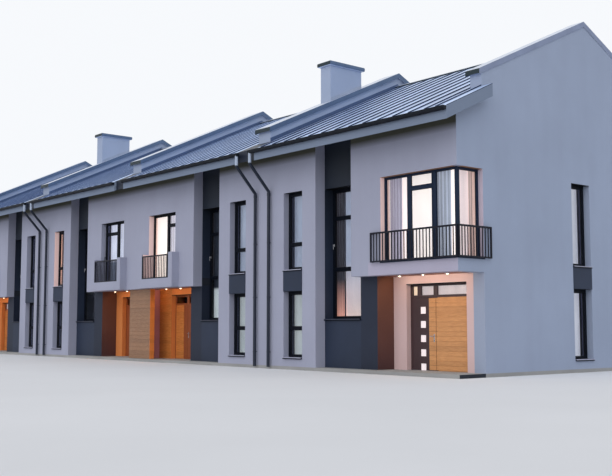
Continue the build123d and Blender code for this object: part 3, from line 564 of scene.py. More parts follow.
def neck_metal():
    """The pipes' slanting necks are dark as the pipes are, and their upright outlets pale."""
    look = Look("neck_metal", 0.45, shine=0.3)
    dust = look.span(look.noise(2.2, 4), 0.35, 0.75, 0.92, 1.08)
    colour = look.mix(look.below(PIPE_NECK_Z + 0.03, 0.02), (164, 176, 196), (30, 37, 52))
    look.colour(look.scaled(colour, dust))
    look.bump(look.noise(420, 2), 0.0004, 0.5)
    return look.mat


def cladding(name, colour, upper=None):
    """Smooth dark fibre cement with a faint cloudy tone, and where upper is set darker towards the top: a
    painted eave shadow.
    """
    look = Look(name, 0.62, shine=0.33)
    # Painted eave shadow: the upper colour darkens the cladding towards the top
    if upper:
        colour = look.mix(look.below(4.6, 2.4), upper, colour)
    cloud = look.cloud(0.88, 1.14, 0.9, 5)
    fleck = look.span(look.noise(120, 2), 0.35, 0.65, 0.94, 1.06)
    look.colour(look.scaled(colour, look.times(cloud, fleck)))
    look.bump(look.noise(150, 3), 0.001, 0.5)
    return look.mat


def glass(name):
    """Clear double glazing, with the slow waves of a large pane in its reflections."""
    look = Look(name, 0.02)
    look.shader.inputs["Transmission Weight"].default_value = 1.0
    look.shader.inputs["IOR"].default_value = 1.3
    film = look.cloud(0.0, 1.0, 0.8, 3)
    look.colour(look.mix(film, (236, 242, 246), (222, 230, 238)))
    look.bump(look.noise(0.9, 1), 0.004, 0.35)
    return look.mat


def cloth(name, colour, strength=0.0, upper=None, level=3.0, fade=0.5):
    """Woven curtain cloth. A lit room shines through where strength is set, up to a level, and its folds
    carry painted shade by how they turn.
    """
    look = Look(name, 0.85)
    if upper:
        colour = look.mix(look.below(level, fade), upper, colour)
    weave = look.times(look.noise(300, 1, (1, 1, 0.2)), look.noise(300, 1, (0.2, 0.2, 1)))
    tone = look.cloud(0.88, 1.04, 3.5, 3, (1, 1, 0.1))
    # Painted shade: folds are darker or lighter by the way they turn
    turned = look.times(look.axis("X", look.normal), look.axis("Y", look.normal))
    tone = look.times(tone, look.span(turned, -0.4, 0.4, 0.74, 1.26))
    colour = look.scaled(colour, tone)
    look.colour(colour)
    look.bump(weave, 0.0008, 0.6)
    look.shader.inputs["Sheen Weight"].default_value = 0.2
    if strength:
        look.glow(colour, strength)
    return look.mat


def lamp(name, strength):
    """Frosted warm white that glows."""
    look = Look(name, 0.4)
    look.colour(look.scaled((255, 240, 220), look.cloud(0.96, 1.0, 60, 2)))
    look.glow((255, 222, 186), strength)
    return look.mat


def slab_concrete():
    """Concrete floors, painted dark where their ends show in the recessed strips."""
    look = Look("concrete", 0.9)
    shade = look.cloud(0.88, 1.08, 1.1, 5)
    near_front = look.before("Y", FRONT + PORCH_DEPTH)
    ends = look.times(look.faces("X"), near_front)
    look.colour(look.scaled(look.mix(ends, (150, 150, 150), (24, 30, 42)), shade))
    look.bump(look.noise(90, 4), 0.002, 0.7)
    return look.mat


WALL_COLOUR = (158, 161, 181)
# GABLE_COLOUR is the wall render with a painted bluer shade, for the shaded gable side
GABLE_COLOUR = (152, 163, 186)
LOOKS = {
    # The wall render's eaves colour is a painted eave shadow
    "render": rendered("wall_render", WALL_COLOUR, below_corner=(172, 168, 188), gable=GABLE_COLOUR,
                       eaves=(74, 74, 64), above=(156, 168, 192)),
    # The warm colours of porch_render, wood_boards and door_brown are painted orange lamp light
    "porch_render": rendered("porch_render", (212, 184, 184), 0.05, (220, 134, 72), behind=WALL_COLOUR),
    # eave_render's under colour is painted shade on the eave boxes' undersides
    "eave_render": rendered("eave_render", (117, 129, 150), 0.03, under=(32, 34, 42)),
    "concrete": slab_concrete(),
    "soffit_boards": soffit_boards(),
    # dark_cladding's second colour is a painted eave shadow at the top of the strips
    "dark_cladding": cladding("dark_cladding", (36, 46, 66), (22, 30, 42)),
    "roof_metal": roof_metal(),
    "cap_metal": cap_metal(),
    "gutter_metal": coated("gutter_metal", (30, 37, 52), 0.45, 0.1, shine=0.3),
    # window_frame's near-black is partly the frames' own dark coat and partly painted shade from the reveals
    "window_frame": coated("window_frame", (9, 14, 24), 0.5, 0.0, shine=0.1),
    "railing_metal": coated("railing_metal", (26, 27, 38), 0.45, 0.0, shine=0.15),
    "glass": glass("glass"),
    "lamp": lamp("lamp", 1.5),
    "wood_boards": boards("wood_boards", (216, 157, 103), (190, 132, 84), PANEL_BOARD, SLAB_T,
                          ((208, 132, 66), (176, 100, 44))),
    "door_brown": stained("door_brown", (60, 41, 45), 0.45, (140, 72, 36)),
}
# The screen boards' ends colour is painted orange lamp light from the porches
SCREEN_LOOK = boards("screen_boards", (156, 117, 88), (124, 90, 66), SCREEN_BOARD, SLAB_T,
                     ends=(224, 132, 62))
PORCH_SIDE_LOOK = porch_side()
DIVIDER_LOOK = cladding("divider", (190, 128, 136))
# The gable walls take the painted bluer shade of the gable colour
GABLE_LOOK = rendered("gable_render", GABLE_COLOUR)
DOME_LOOK = lamp("lamp_dome", 6.0)
# The corner frames take the frames' coat without the painted reveal shade
CORNER_FRAME_LOOK = coated("corner_frame", (27, 39, 60), 0.5, 0.0, shine=0.12)
GUTTER_LOOK = coated("gutter", (16, 21, 30), 0.5, 0.0, shine=0.15)
STEEL = coated("brushed_steel", (170, 170, 176), 0.3, 0.9)
SEAL = coated("seal", (14, 15, 18), 0.6, 0.0)
# The parapet flashings are darkened as roof in the parapets' shade: painted shade; the chimney flashings stay
# pale
FLASHING = coated("flashing", (74, 92, 126), 0.45, 0.5)
FLASHING_PALE = coated("flashing_pale", (150, 160, 182), 0.34, 0.7)
SILL_METAL = coated("sill_metal", (170, 172, 192), 0.45, 0.3)
SILL_DARK = coated("sill_metal_dark", (72, 76, 92), 0.5, 0.2, shine=0.3)
# Panels of painted shade under window and door heads: dark, and brown under the corner window where the
# room's warm light falls
HEAD_SHADE = coated("head_panel", (6, 9, 15), 0.7, 0.0, shine=0.15)
HEAD_BROWN = coated("head_panel_brown", (140, 102, 78), 0.6, 0.0)
# Painted room light: pale pink and lilac boards on outer reveals that the rooms light
REVEAL_WARM = rendered("reveal_warm", (232, 200, 196), 0.02, lit=0.2)
REVEAL_COOL = rendered("reveal_cool", (200, 186, 202), 0.02)
# Inner jambs: painted shade on the unlit inner reveals, and painted room light on the warm ones, both glowing
JAMB_DARK = rendered("inner_jamb", (66, 68, 88), 0.03, lit=0.7)
JAMB_WARM = rendered("inner_jamb_warm", (226, 192, 178), 0.03, lit=0.55)
# Door panes and transom films glow: painted light of lit rooms behind them
LIGHT_PANE = cloth("leaf_pane", (238, 226, 228), 0.45)
TRANSOM_FILM = cloth("transom_film", (214, 194, 190), 0.72)
TRANSOM_WARM = cloth("transom_film_warm", (244, 208, 176), 0.95)
NECK_LOOK = neck_metal()
CLOTHS = {name: cloth(name, *rest) for name, *rest in (
    ("sheer_lit", (255, 238, 226), 0.95),
    ("sheer_bright", (255, 235, 220), 1.12),
    ("sheer_rose", (238, 212, 206), 0.82),
    ("sheer_blue", (100, 104, 120), 1.1, (194, 192, 206), 3.9, 0.1),
    ("sheer_stair", (232, 198, 182), 0.78, (158, 162, 178), 2.25, 2.0),
    ("sheer_green", (198, 202, 202), 0.62, (34, 38, 48), 2.63, 0.1),
    ("curtain_lilac", (176, 164, 177), 0.7),
    ("curtain_pale", (204, 194, 200), 1.2),
    ("curtain_blue", (174, 176, 188), 0.66),
    ("curtain_tan", (200, 172, 162), 0.6),
    ("curtain_salmon", (226, 160, 140), 1.35, (48, 46, 52), 1.95, 1.5),
    ("curtain_orange", (236, 178, 154), 1.1),
    ("blind", (150, 156, 174), 0.66),
    ("blind_low", (172, 175, 174), 0.7),
    ("blind_gable", (174, 172, 180), 1.02),
)}


def dress_nodes():
    """Every node takes the look of its slot, or one of its own."""
    slots = {sub["node"]: sub["material_slot"] for sub in frame["record"]["subparts"]}
    special = {"porch_side_walls": PORCH_SIDE_LOOK, "porch_dividers": DIVIDER_LOOK,
               "porch_screens": SCREEN_LOOK, "corner_window_front": CORNER_FRAME_LOOK,
               "corner_window_side": CORNER_FRAME_LOOK, "gable_wall": GABLE_LOOK,
               "gable_wall_ends": GABLE_LOOK, "gutters": GUTTER_LOOK, "downpipe_necks": NECK_LOOK}
    for name, obj in frame["nodes"].items():
        obj.data.materials.clear()
        obj.data.materials.append(special.get(name, LOOKS[slots[name]]))


def placed(name, data):
    """A new object in the scene."""
    obj = bpy.data.objects.new(name, data)
    bpy.context.scene.collection.objects.link(obj)
    return obj


def dressed(name, bm, look, slot, body, smooth=False):
    """A piece from finished mesh code, with its look, riding on a body. Its slot is not used."""
    mesh = bpy.data.meshes.new(name)
    bm.to_mesh(mesh)
    bm.free()
    if smooth:
        mesh.polygons.foreach_set("use_smooth", [True] * len(mesh.polygons))
    mesh.materials.append(look)
    obj = placed(name, mesh)
    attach(obj, body)
    return obj


def corners(a0, a1, b0, b1):
    return [(a0, b0), (a1, b0), (a1, b1), (a0, b1)]


def circle(radius, sides):
    angles = [2 * math.pi * i / sides for i in range(sides)]
    return [(radius * math.cos(a), radius * math.sin(a)) for a in angles]


def facing(spot, direction):
    """A place at a spot, its z axis turned in a direction."""
    return Matrix.Translation(spot) @ Vector(direction).to_track_quat("Z", "Y").to_matrix().to_4x4()


class Shape:
    """One piece, put together from closed forms and set on a body of the frame."""

    def __init__(self, name, slot, look=None, body="building"):
        self.name = name
        self.slot = slot
        self.look = look or LOOKS[slot]
        self.body = body
        self.bm = bmesh.new()

    def band(self, low, high):
        """Faces between two rings of points."""
        for i in range(len(low)):
            j = (i + 1) % len(low)
            self.bm.faces.new((low[i], low[j], high[j], high[i]))

    def push(self, outline, low, high, axis="z", place=None):
        """An outline in two axes, pushed along the third from low to high."""
        at = {"x": lambda a, b, h: (h, a, b),
              "y": lambda a, b, h: (a, h, b),
              "z": lambda a, b, h: (a, b, h)}[axis]
        rings = [[self.bm.verts.new(at(a, b, h)) for a, b in outline] for h in (low, high)]
        self.bm.faces.new(rings[0][::-1])
        self.bm.faces.new(rings[1])
        self.band(*rings)
        if place:
            bmesh.ops.transform(self.bm, matrix=place, verts=rings[0] + rings[1])

    def box(self, x0, x1, y0, y1, z0, z1, place=None):
        (x0, x1), (y0, y1), (z0, z1) = sorted((x0, x1)), sorted((y0, y1)), sorted((z0, z1))
        self.push(corners(x0, x1, y0, y1), z0, z1, "z", place)

    def rim(self, u0, u1, z0, z1, width, y0, y1, place=None):
        """A rectangular frame of four mitred bars."""
        outer = corners(u0, u1, z0, z1)
        inner = corners(u0 + width, u1 - width, z0 + width, z1 - width)
        for i in range(4):
            j = (i + 1) % 4
            self.push([outer[i], outer[j], inner[j], inner[i]], y0, y1, "y", place)

    def tube(self, spot, direction, inner, outer, length, sides=20):
        """A straight ring round a line that starts at spot."""
        place = facing(spot, direction)
        rings = [[self.bm.verts.new(place @ Vector((*point, h))) for point in circle(radius, sides)]
                 for radius, h in ((inner, 0), (outer, 0), (outer, length), (inner, length))]
        for low, high in zip(rings, rings[1:] + rings[:1]):
            self.band(low, high)

    def dome(self, spot, radius, drop, sides=28, steps=5):
        """A shallow lens that hangs under a spot."""
        rings = []
        for k in range(steps):
            a = math.pi / 2 * k / steps
            z = spot[2] - drop * math.sin(a)
            rings.append([self.bm.verts.new((spot[0] + x, spot[1] + y, z))
                          for x, y in circle(radius * math.cos(a), sides)])
        self.bm.faces.new(rings[0])
        for low, high in zip(rings, rings[1:]):
            self.band(low, high)
        self.bm.faces.new(rings[-1])

    def rod(self, spot, direction, radius, length, sides=16):
        self.push(circle(radius, sides), 0, length, "z", facing(spot, direction))

    def done(self, bevel=0.0, smooth=False):
        """The finished piece, with its faces turned out and its sharp edges bevelled."""
        bmesh.ops.recalc_face_normals(self.bm, faces=self.bm.faces[:])
        if bevel:
            sharp = [e for e in self.bm.edges if e.is_manifold and e.calc_face_angle(0) > SHARP]
            bmesh.ops.bevel(self.bm, geom=sharp, offset=bevel, segments=1, affect="EDGES", clamp_overlap=True)
        return dressed(self.name, self.bm, self.look, self.slot, self.body, smooth)


def wall_place(x, y, turn=0):
    """The place of a wall's windows: where their frames' faces start, and the wall's turn in degrees."""
    return Matrix.Translation((x, y, 0)) @ Matrix.Rotation(math.radians(turn), 4, "Z")


class Window:
    """A window as the model has it: its place, its rim, its posts at u and its rails (u0, u1, z).

    depth is how far its frame stands behind the face of its wall, and inner how far the wall's inner
    face is behind the frame. opening numbers the lights that have a sash of their own.
    """

    def __init__(self, name, place, u0, u1, z0, z1, posts=(), rails=(), opening=(), depth=FRAME_SET,
                 wall=WALL_T, width=FRAME_W, edge=None, sill=True):
        self.name = name
        self.place = place
        self.u0, self.u1 = sorted((u0, u1))
        self.z0, self.z1 = z0, z1
        self.posts = sorted(posts)
        self.rails = rails
        self.opening = opening
        self.depth = depth
        self.inner = wall - depth
        self.width = width
        self.edge = edge or width
        self.sill = sill

    def columns(self):
        """The open spans between the rim and the posts."""
        starts = [self.u0 + self.edge] + [p + POST_W / 2 for p in self.posts]
        ends = [p - POST_W / 2 for p in self.posts] + [self.u1 - self.width]
        return list(zip(starts, ends))

    def lights(self):
        """Every opening between the bars, column by column and upwards."""
        found = []
        for a, b in self.columns():
            levels = sorted(z for r0, r1, z in self.rails if min(r0, r1) < (a + b) / 2 < max(r0, r1))
            lows = [self.z0 + self.width] + [z + RAIL_W / 2 for z in levels]
            highs = [z - RAIL_W / 2 for z in levels] + [self.z1 - self.width]
            found += [(a, b, low, high) for low, high in zip(lows, highs)]
        return found


STOREYS = (("upper", UPPER_SILL_Z, HEAD_Z, UPPER_RAIL_Z), ("lower", LOWER_SILL_Z, LOWER_HEAD_Z, LOWER_RAIL_Z))


def house_windows(h):
    """The windows of one house, apart from those at the gable's corner and in the gable."""
    front = wall_place(0, FRONT + FRAME_SET)
    a, b = h.span(*NARROW)
    for part, z0, z1, rail in STOREYS:
        yield Window(f"narrow_{part}_{h.name}", front, a, b, z0, z1, rails=[(a, b, rail)], opening=(1,))
    a, b = h.span(*STRIP)
    strip = wall_place(0, FRONT + WALL_T + STRIP_FRAME_SET)
    yield Window(f"stair_{h.name}", strip, a, b, STRIP_SILL_Z, HEAD_Z, rails=[(a, b, z) for z in STRIP_RAILS],
                 opening=(1,), depth=STRIP_FRAME_SET, wall=STRIP_WALL_T)
    if not h.is_end:
        a, b = h.span(*BALCONY_WINDOW)
        post = a + BALCONY_POST
        yield Window(f"balcony_{h.name}", front, a, b, BALCONY_SILL_Z, HEAD_Z, [post],
                     [(h.x(BALCONY_WINDOW[0]), post, BALCONY_RAIL_Z)], (0, 1) if h.s > 0 else (1, 2),
                     width=SLIM_FRAME_W, sill=False)
    rear = wall_place(0, REAR - FRAME_SET, 180)
    half = REAR_WINDOW_W / 2
    for share in REAR_SHARES:
        for level in FLOORS:
            u = -h.x(PARTY_T / 2 + (h.inner_far - PARTY_T / 2) * share)
            z0, z1 = (level + z for z in REAR_WINDOW_Z)
            name = f"rear_{h.name}_{round(share * 100)}_{round(level)}"
            yield Window(name, rear, u - half, u + half, z0, z1, [u], opening=(0,))


def end_windows():
    """The two sides of the corner window, and the windows in the gable."""
    posts = [RIGHT - p for p in CORNER_POSTS]
    yield Window("corner_front", wall_place(0, FRONT + CORNER_FRAME_SET), RIGHT - CORNER_WINDOW_W,
                 RIGHT - CORNER_FRAME_SET, CORNER_SILL_Z, HEAD_Z, posts, [(*posts, CORNER_RAIL_Z)], (1, 2),
                 CORNER_FRAME_SET, width=SLIM_FRAME_W)
    yield Window("corner_side", wall_place(RIGHT - CORNER_FRAME_SET, FRONT, 90), CORNER_FRAME_SET + FRAME_T,
                 PORCH_DEPTH, CORNER_SILL_Z, HEAD_Z, depth=CORNER_FRAME_SET, width=SLIM_FRAME_W,
                 edge=CORNER_EDGE_W)
    gable = wall_place(RIGHT - FRAME_SET, FRONT, 90)
    for part, z0, z1, _ in STOREYS:
        yield Window(f"gable_{part}", gable, *GABLE_WINDOW, z0, z1, opening=(0,))


WINDOWS = {w.name: w for w in [w for h in ROW for w in house_windows(h)] + list(end_windows())}


def sashes():
    """A sash that laps over the frame in every opening light, and beads and a seal round every pane."""
    glass = BAR_T - TOUCH
    for group in ("narrow", "stair", "balcony", "rear", "corner", "gable"):
        frames = Shape(f"{group}_sashes", "window_frame", CORNER_FRAME_LOOK if group == "corner" else None)
        seals = Shape(f"{group}_seals", "window_frame", SEAL)
        for w in WINDOWS.values():
            if not w.name.startswith(group):
                continue
            for index, (a, b, low, high) in enumerate(w.lights()):
                front = BEAD_SET
                if index in w.opening:
                    lap = w.width / 2
                    front = -CLEAR
                    frames.rim(a - lap, b + lap, low - lap, high + lap, lap + SASH_IN, -SASH_FRONT, -TOUCH,
                               w.place)
                frames.rim(a, b, low, high, SASH_IN, front, glass, w.place)
                seals.rim(a + SASH_IN, b - SASH_IN, low + SASH_IN, high - SASH_IN, SEAL_W, glass - SEAL_T,
                          glass, w.place)
        frames.done(bevel=0.003)
        seals.done(bevel=0.0015)


def handles():
    """Lever handles on the opening sashes: a plate, a stem, and a grip that hangs down."""
    steel = Shape("window_handles", "window_frame", STEEL)
    dark = Shape("balcony_handles", "window_frame")
    spots = [(steel, f"stair_{h.name}", 0, STAIR_HANDLE_Z) for h in ROW]
    spots += [(dark, f"balcony_{h.name}", 1 if h.s < 0 else 0, BALCONY_HANDLE_Z) for h in ROW[1:]]
    for piece, name, column, z in spots:
        w = WINDOWS[name]
        u = w.columns()[column][0] - HANDLE_SIDE
        front = -SASH_FRONT
        half, thick, foot, top = WINDOW_PLATE
        piece.box(u - half, u + half, front - thick, front, z + foot, z + top, w.place)
        out, length, up = WINDOW_STEM
        inwards = w.place.to_3x3() @ Vector((0, 1, 0))
        piece.rod(w.place @ Vector((u, front - out, z + up)), inwards, LEVER_R, length)
        half, near, far, foot, top = WINDOW_GRIP
        piece.box(u - half, u + half, front - far, front - near, z + foot, z + top, w.place)
    steel.done(bevel=0.004)
    dark.done(bevel=0.004)


def sill_covers():
    """Folded metal over the sills, with a short lip in front."""
    covers = Shape("sill_covers", "window_frame", SILL_METAL)
    dark = Shape("stair_sill_covers", "window_frame", SILL_DARK)
    for w in WINDOWS.values():
        if not w.sill:
            continue
        top = w.z0 + SILL_T
        front = -w.depth - SILL_OUT
        left = w.u0 - (w.depth + FRAME_T + SILL_OUT if w.name == "corner_side" else 0.0)
        right = w.u1 + (w.depth + SILL_OUT if w.name == "corner_front" else 0.0)
        outline = [(front - COVER_T, top - COVER_LIP), (front, top - COVER_LIP), (front, top), (-CLEAR, top),
                   (-CLEAR, top + COVER_T), (front - COVER_T, top + COVER_T)]
        piece = dark if w.name.startswith("stair") else covers
        piece.push(outline, left + CLEAR, right - CLEAR, "x", w.place)
    covers.done()
    dark.done()


def liners():
    """Reveal liners: dark or brown panels under the heads, painted shade, and pale boards on some sides,
    painted room light.
    """
    heads = Shape("head_liners", "dark_cladding", HEAD_SHADE)
    brown = Shape("corner_head_liners", "dark_cladding", HEAD_BROWN)
    warm = Shape("warm_reveals", "render", REVEAL_WARM)
    cool = Shape("cool_reveals", "render", REVEAL_COOL)
    for w in WINDOWS.values():
        if w.name.startswith("rear"):
            continue
        piece, side = (brown, LINER_T) if w.name.startswith("corner") else (heads, 0.0)
        piece.box(w.u0 + side, w.u1 - side, -w.depth + CLEAR, -TOUCH, w.z1 - LINER_T, w.z1, w.place)
    # Pale side boards of painted room light on the outer reveals, and on the inner face of balcony b's pier
    sides = {"corner_front": warm, "balcony_b": warm, "narrow_upper_c": warm, "corner_side": cool}
    for name, piece in sides.items():
        w = WINDOWS[name]
        u = w.u1 - LINER_T if piece is cool else w.u0
        low = w.z0 + SILL_T + COVER_T + CLEAR if w.sill else w.z0
        piece.box(u, u + LINER_T, -w.depth + CLEAR, -TOUCH, low, w.z1 - LINER_T - TOUCH, w.place)
    w = WINDOWS["balcony_b"]
    warm.box(w.u0, w.u0 + LINER_T, -w.depth - BALCONY_DEPTH + RAILING_T, -w.depth - CLEAR, w.z0,
             BALCONY_PIER_Z, w.place)
    for piece in (heads, brown, warm, cool):
        piece.done()


def inner_jambs():
    """Boards on the inner reveals, behind the frames: the dark ones painted shade lifted by a faint glow, the
    warm ones painted room light.
    """
    dark = Shape("inner_jambs", "window_frame", JAMB_DARK)
    warm = Shape("warm_inner_jambs", "window_frame", JAMB_WARM)
    for w in WINDOWS.values():
        piece = warm if w.name in ("corner_front", "corner_side", "balcony_b", "narrow_upper_c") else dark
        ends = [(w.u0, 1), (w.u1, -1)]
        if w.name.startswith("corner"):
            ends = ends[:1] if w.name == "corner_front" else ends[1:]
        for u, turn in ends:
            piece.box(u, u + turn * LINER_T, FRAME_T, w.inner, w.z0, w.z1, w.place)
    dark.done()
    warm.done()


def curtain(name, w, a, b, depth, look, folds=0, swing=0.0):
    """Cloth on a rail inside the room, from a to b along the window and depth behind its frame.

    It has so many folds, which swing to either side of it and less under the rail.
    """
    top = w.z1 + RAIL_OVER_HEAD
    low = w.z0 + CLOTH_FOOT
    rail = Shape(name + "_rail", "window_frame", STEEL)
    along = w.place.to_3x3() @ Vector((1, 0, 0))
    rail.rod(w.place @ Vector((a - RAIL_END, depth, top + RAIL_R)), along, RAIL_R, b - a + 2 * RAIL_END)
    foot = top + RAIL_R - RAIL_FOOT / 2
    for u in (a, b - RAIL_FOOT):
        rail.box(u, u + RAIL_FOOT, w.inner - CLEAR, depth + RAIL_R - 2 * CLEAR, foot, foot + RAIL_FOOT,
                 w.place)
    bar = rail.done()
    steps = max(8, folds * FOLD_STEPS)
    bm = bmesh.new()
    rows = []
    for z, spread in ((low, 1.0), ((low + top) / 2, 1.0), (top, 0.55)):
        row = []
        for i in range(steps + 1):
            t = i / steps
            wave = math.sin(2 * math.pi * folds * t + 1.3 * math.sin(5 * t)) if folds else 0.0
            row.append(bm.verts.new(w.place @ Vector((a + (b - a) * t, depth + swing * wave * spread, z))))
        rows.append(row)
    for lower, upper in zip(rows, rows[1:]):
        for i in range(steps):
            bm.faces.new((lower[i], lower[i + 1], upper[i + 1], upper[i]))
    area = sum(f.calc_area() for f in bm.faces)
    obj = dressed(name, bm, CLOTHS[look], "window_frame", "building", True)


def curtains():
    """Blinds and curtains where the photograph shows pale panes, and the same on the like windows."""
    for h in ROW:
        for part, look in (("upper", "curtain_orange" if h.name == "c" else "blind"), ("lower", "blind_low")):
            w = WINDOWS[f"narrow_{part}_{h.name}"]
            curtain(f"blind_{part}_{h.name}", w, w.u0, w.u1 + CLOTH_LAP, BLIND_DEPTH, look)
    for part in ("upper", "lower"):
        w = WINDOWS[f"gable_{part}"]
        curtain(f"blind_{part}_gable", w, w.u0 - CLOTH_LAP, w.u1, BLIND_DEPTH, "blind_gable")
    w = WINDOWS["corner_front"]
    curtain("corner_sheer", w, RIGHT - 3.0, RIGHT - 0.46, 0.45, "sheer_lit")
    curtain("corner_curtain_left", w, RIGHT - 2.8, RIGHT - 2.319, 0.27, "curtain_lilac", 5, 0.022)
    curtain("corner_curtain_right", w, RIGHT - 1.098, RIGHT - 0.547, 0.27, "curtain_blue", 5, 0.016)
    w = WINDOWS["corner_side"]
    curtain("corner_side_sheer", w, 0.5, 1.14, 0.25, "sheer_rose")
    curtain("corner_side_curtain", w, 0.88, 1.3, 0.24, "curtain_tan", 4, 0.01)
    w = WINDOWS["balcony_b"]
    curtain("balcony_sheer_b", w, w.u0 - 0.3, w.u1 + CLOTH_LAP, 0.28, "sheer_bright")
    curtain("balcony_curtain_b", w, w.u0 + 0.63, w.u1 + CLOTH_LAP, 0.21, "curtain_pale", 8, 0.02)
    for name in "cd":
        w = WINDOWS[f"balcony_{name}"]
        curtain(f"balcony_sheer_{name}", w, w.u0, w.u1 + CLOTH_LAP, BLIND_DEPTH, "sheer_blue")
    w = WINDOWS["stair_a"]
    curtain("stair_sheer_a", w, RIGHT - 5.2, w.u1, 0.23, "sheer_stair")
    curtain("stair_curtain_a", w, w.u0 - CLOTH_LAP, RIGHT - 5.183, 0.18, "curtain_salmon", 5, 0.02)
    w = WINDOWS["stair_b"]
    curtain("stair_sheer_b", w, w.u0 - 0.04, w.u0 + 0.6, 0.2, "sheer_green")


def along_slope(y0, y1, low, high):
    """Outline of a strip on the roof from y0 to y1, over the ridge where it passes it."""
    ys = [y0] + ([DEPTH / 2] if y0 < DEPTH / 2 < y1 else []) + [y1]
    under = [(FRONT + y, roof_z(y, low)) for y in ys]
    over = [(FRONT + y, roof_z(y, high)) for y in reversed(ys)]
    return under + over


def flashings():
    """Upstands where the roof meets the parapets, with a foot on the roof, and round the chimneys; those at
    the parapets are darkened with painted shade.
    """
    strips = Shape("roof_flashings", "cap_metal", FLASHING)
    pale = Shape("chimney_flashings", "cap_metal", FLASHING_PALE)
    for h in ROW:
        for d, out in ((PARTY_T / 2, 1), (h.inner_far, -1)):
            x = h.x(d)
            turn = h.s * out
            upright = x + turn * FLASHING_T
            y0, y1 = (PORCH_DEPTH, DEPTH - PORCH_DEPTH) if h.is_end and out < 0 else (0.0, DEPTH)
            strips.push(along_slope(y0, y1, CLEAR, FLASHING_H), *sorted((x, upright)), "x")
            foot = along_slope(y0, y1, 0.0, FLASHING_FOOT_T)
            strips.push(foot, *sorted((upright, x + turn * FLASHING_FOOT)), "x")
    lift = PARAPET_H + CAP_T
    for line in PAIR_LINES:
        for side in (-1, 1):
            x = line + side * CHIMNEY_W / 2
            outline = along_slope(*CHIMNEY_Y, lift, lift + FLASHING_H)
            pale.push(outline, *sorted((x, x + side * FLASHING_T)), "x")
    strips.done(bevel=0.002)
    pale.done(bevel=0.002)


def gutter_brackets():
    """Straps that hold the gutters."""
    straps = Shape("gutter_brackets", "gutter_metal", GUTTER_LOOK)
    top = roof_z(-EAVE_OVERHANG, -SHEET_T)
    centre_y = -EAVE_OVERHANG - GUTTER_W / 2
    centre_z = top - GUTTER_H + GUTTER_W / 2
    outline = []
    for radius, order in ((GUTTER_W / 2 + BRACKET_T, 1), (GUTTER_W / 2 + TOUCH, -1)):
        arc = [(centre_y + radius, top - BRACKET_DROP[0])]
        for i in range(ARC_STEPS + 1):
            a = -math.pi * i / ARC_STEPS
            arc.append((centre_y + radius * math.cos(a), centre_z + radius * math.sin(a)))
        arc.append((centre_y - radius, top - BRACKET_DROP[1]))
        outline += arc[::order]
    for h in ROW:
        far = h.width + VERGE_OVERHANG if h.is_end else h.width - EAVE_GAP_PLAIN
        length = far - BRACKET_START - BRACKET_END
        count = round(length / BRACKET_PITCH)
        for i in range(count + 1):
            x = h.x(BRACKET_START + i * length / count)
            for wall, out in ((FRONT, 1), (REAR, -1)):
                side = [(wall + out * y, z) for y, z in outline]
                straps.push(side, x - BRACKET_W / 2, x + BRACKET_W / 2, "x")
    straps.done()


def pipe_clamps():
    """Clamps round the downpipes with their stems in the wall, and sleeves at the knees."""
    clamps = Shape("pipe_clamps", "gutter_metal")
    half = CLAMP_STEM_W / 2
    for line in PAIR_LINES:
        for side in (-1, 1):
            for wall, out in ((FRONT, -1), (REAR, 1)):
                x = line + side * PIPE_X
                y = wall + out * (PIPE_GAP + PIPE_R)
                stem = y - out * (PIPE_R + CLAMP_T - 2 * CLEAR)
                for z in CLAMP_HEIGHTS:
                    low, high = (z + rise for rise in CLAMP_STEM_Z)
                    clamps.tube((x, y, z), (0, 0, 1), PIPE_R + TOUCH, PIPE_R + CLAMP_T, CLAMP_H)
                    clamps.box(x - half, x + half, stem, wall, low, high)
                sleeve = (x, y, PIPE_KNEE_Z - SLEEVE_UNDER_KNEE)
                clamps.tube(sleeve, (0, 0, 1), PIPE_R + TOUCH, PIPE_R + SLEEVE_T, SLEEVE_H)
    clamps.done()


def ceiling_lights():
    """A steel rim round each ceiling light, and a lens under it."""
    rings = Shape("lamp_rings", "lamp", STEEL)
    domes = Shape("lamp_domes", "lamp", DOME_LOOK)
    y = FRONT + LIGHT_SET
    under = SOFFIT_Z - LIGHT_T
    for h in ROW:
        for d in h.lamps():
            x = h.x(d)
            rings.tube((x, y, under - RING_DROP), (0, 0, 1), LIGHT_R + TOUCH, LIGHT_R + RING_W,
                       LIGHT_T + RING_DROP, 28)
            domes.dome((x, y, under - TOUCH), DOME_R, DOME_DROP)
    rings.done()
    domes.done(smooth=True)


def stack(shape, x0, x1, y0, y1, z0, z1, pitch):
    """Level boards one above the other, with a groove between two."""
    count = round((z1 - z0) / pitch)
    step = (z1 - z0) / count
    for i in range(count):
        shape.box(x0, x1, y0, y1, z0 + i * step + BOARD_GROOVE / 2, z0 + (i + 1) * step - BOARD_GROOVE / 2)


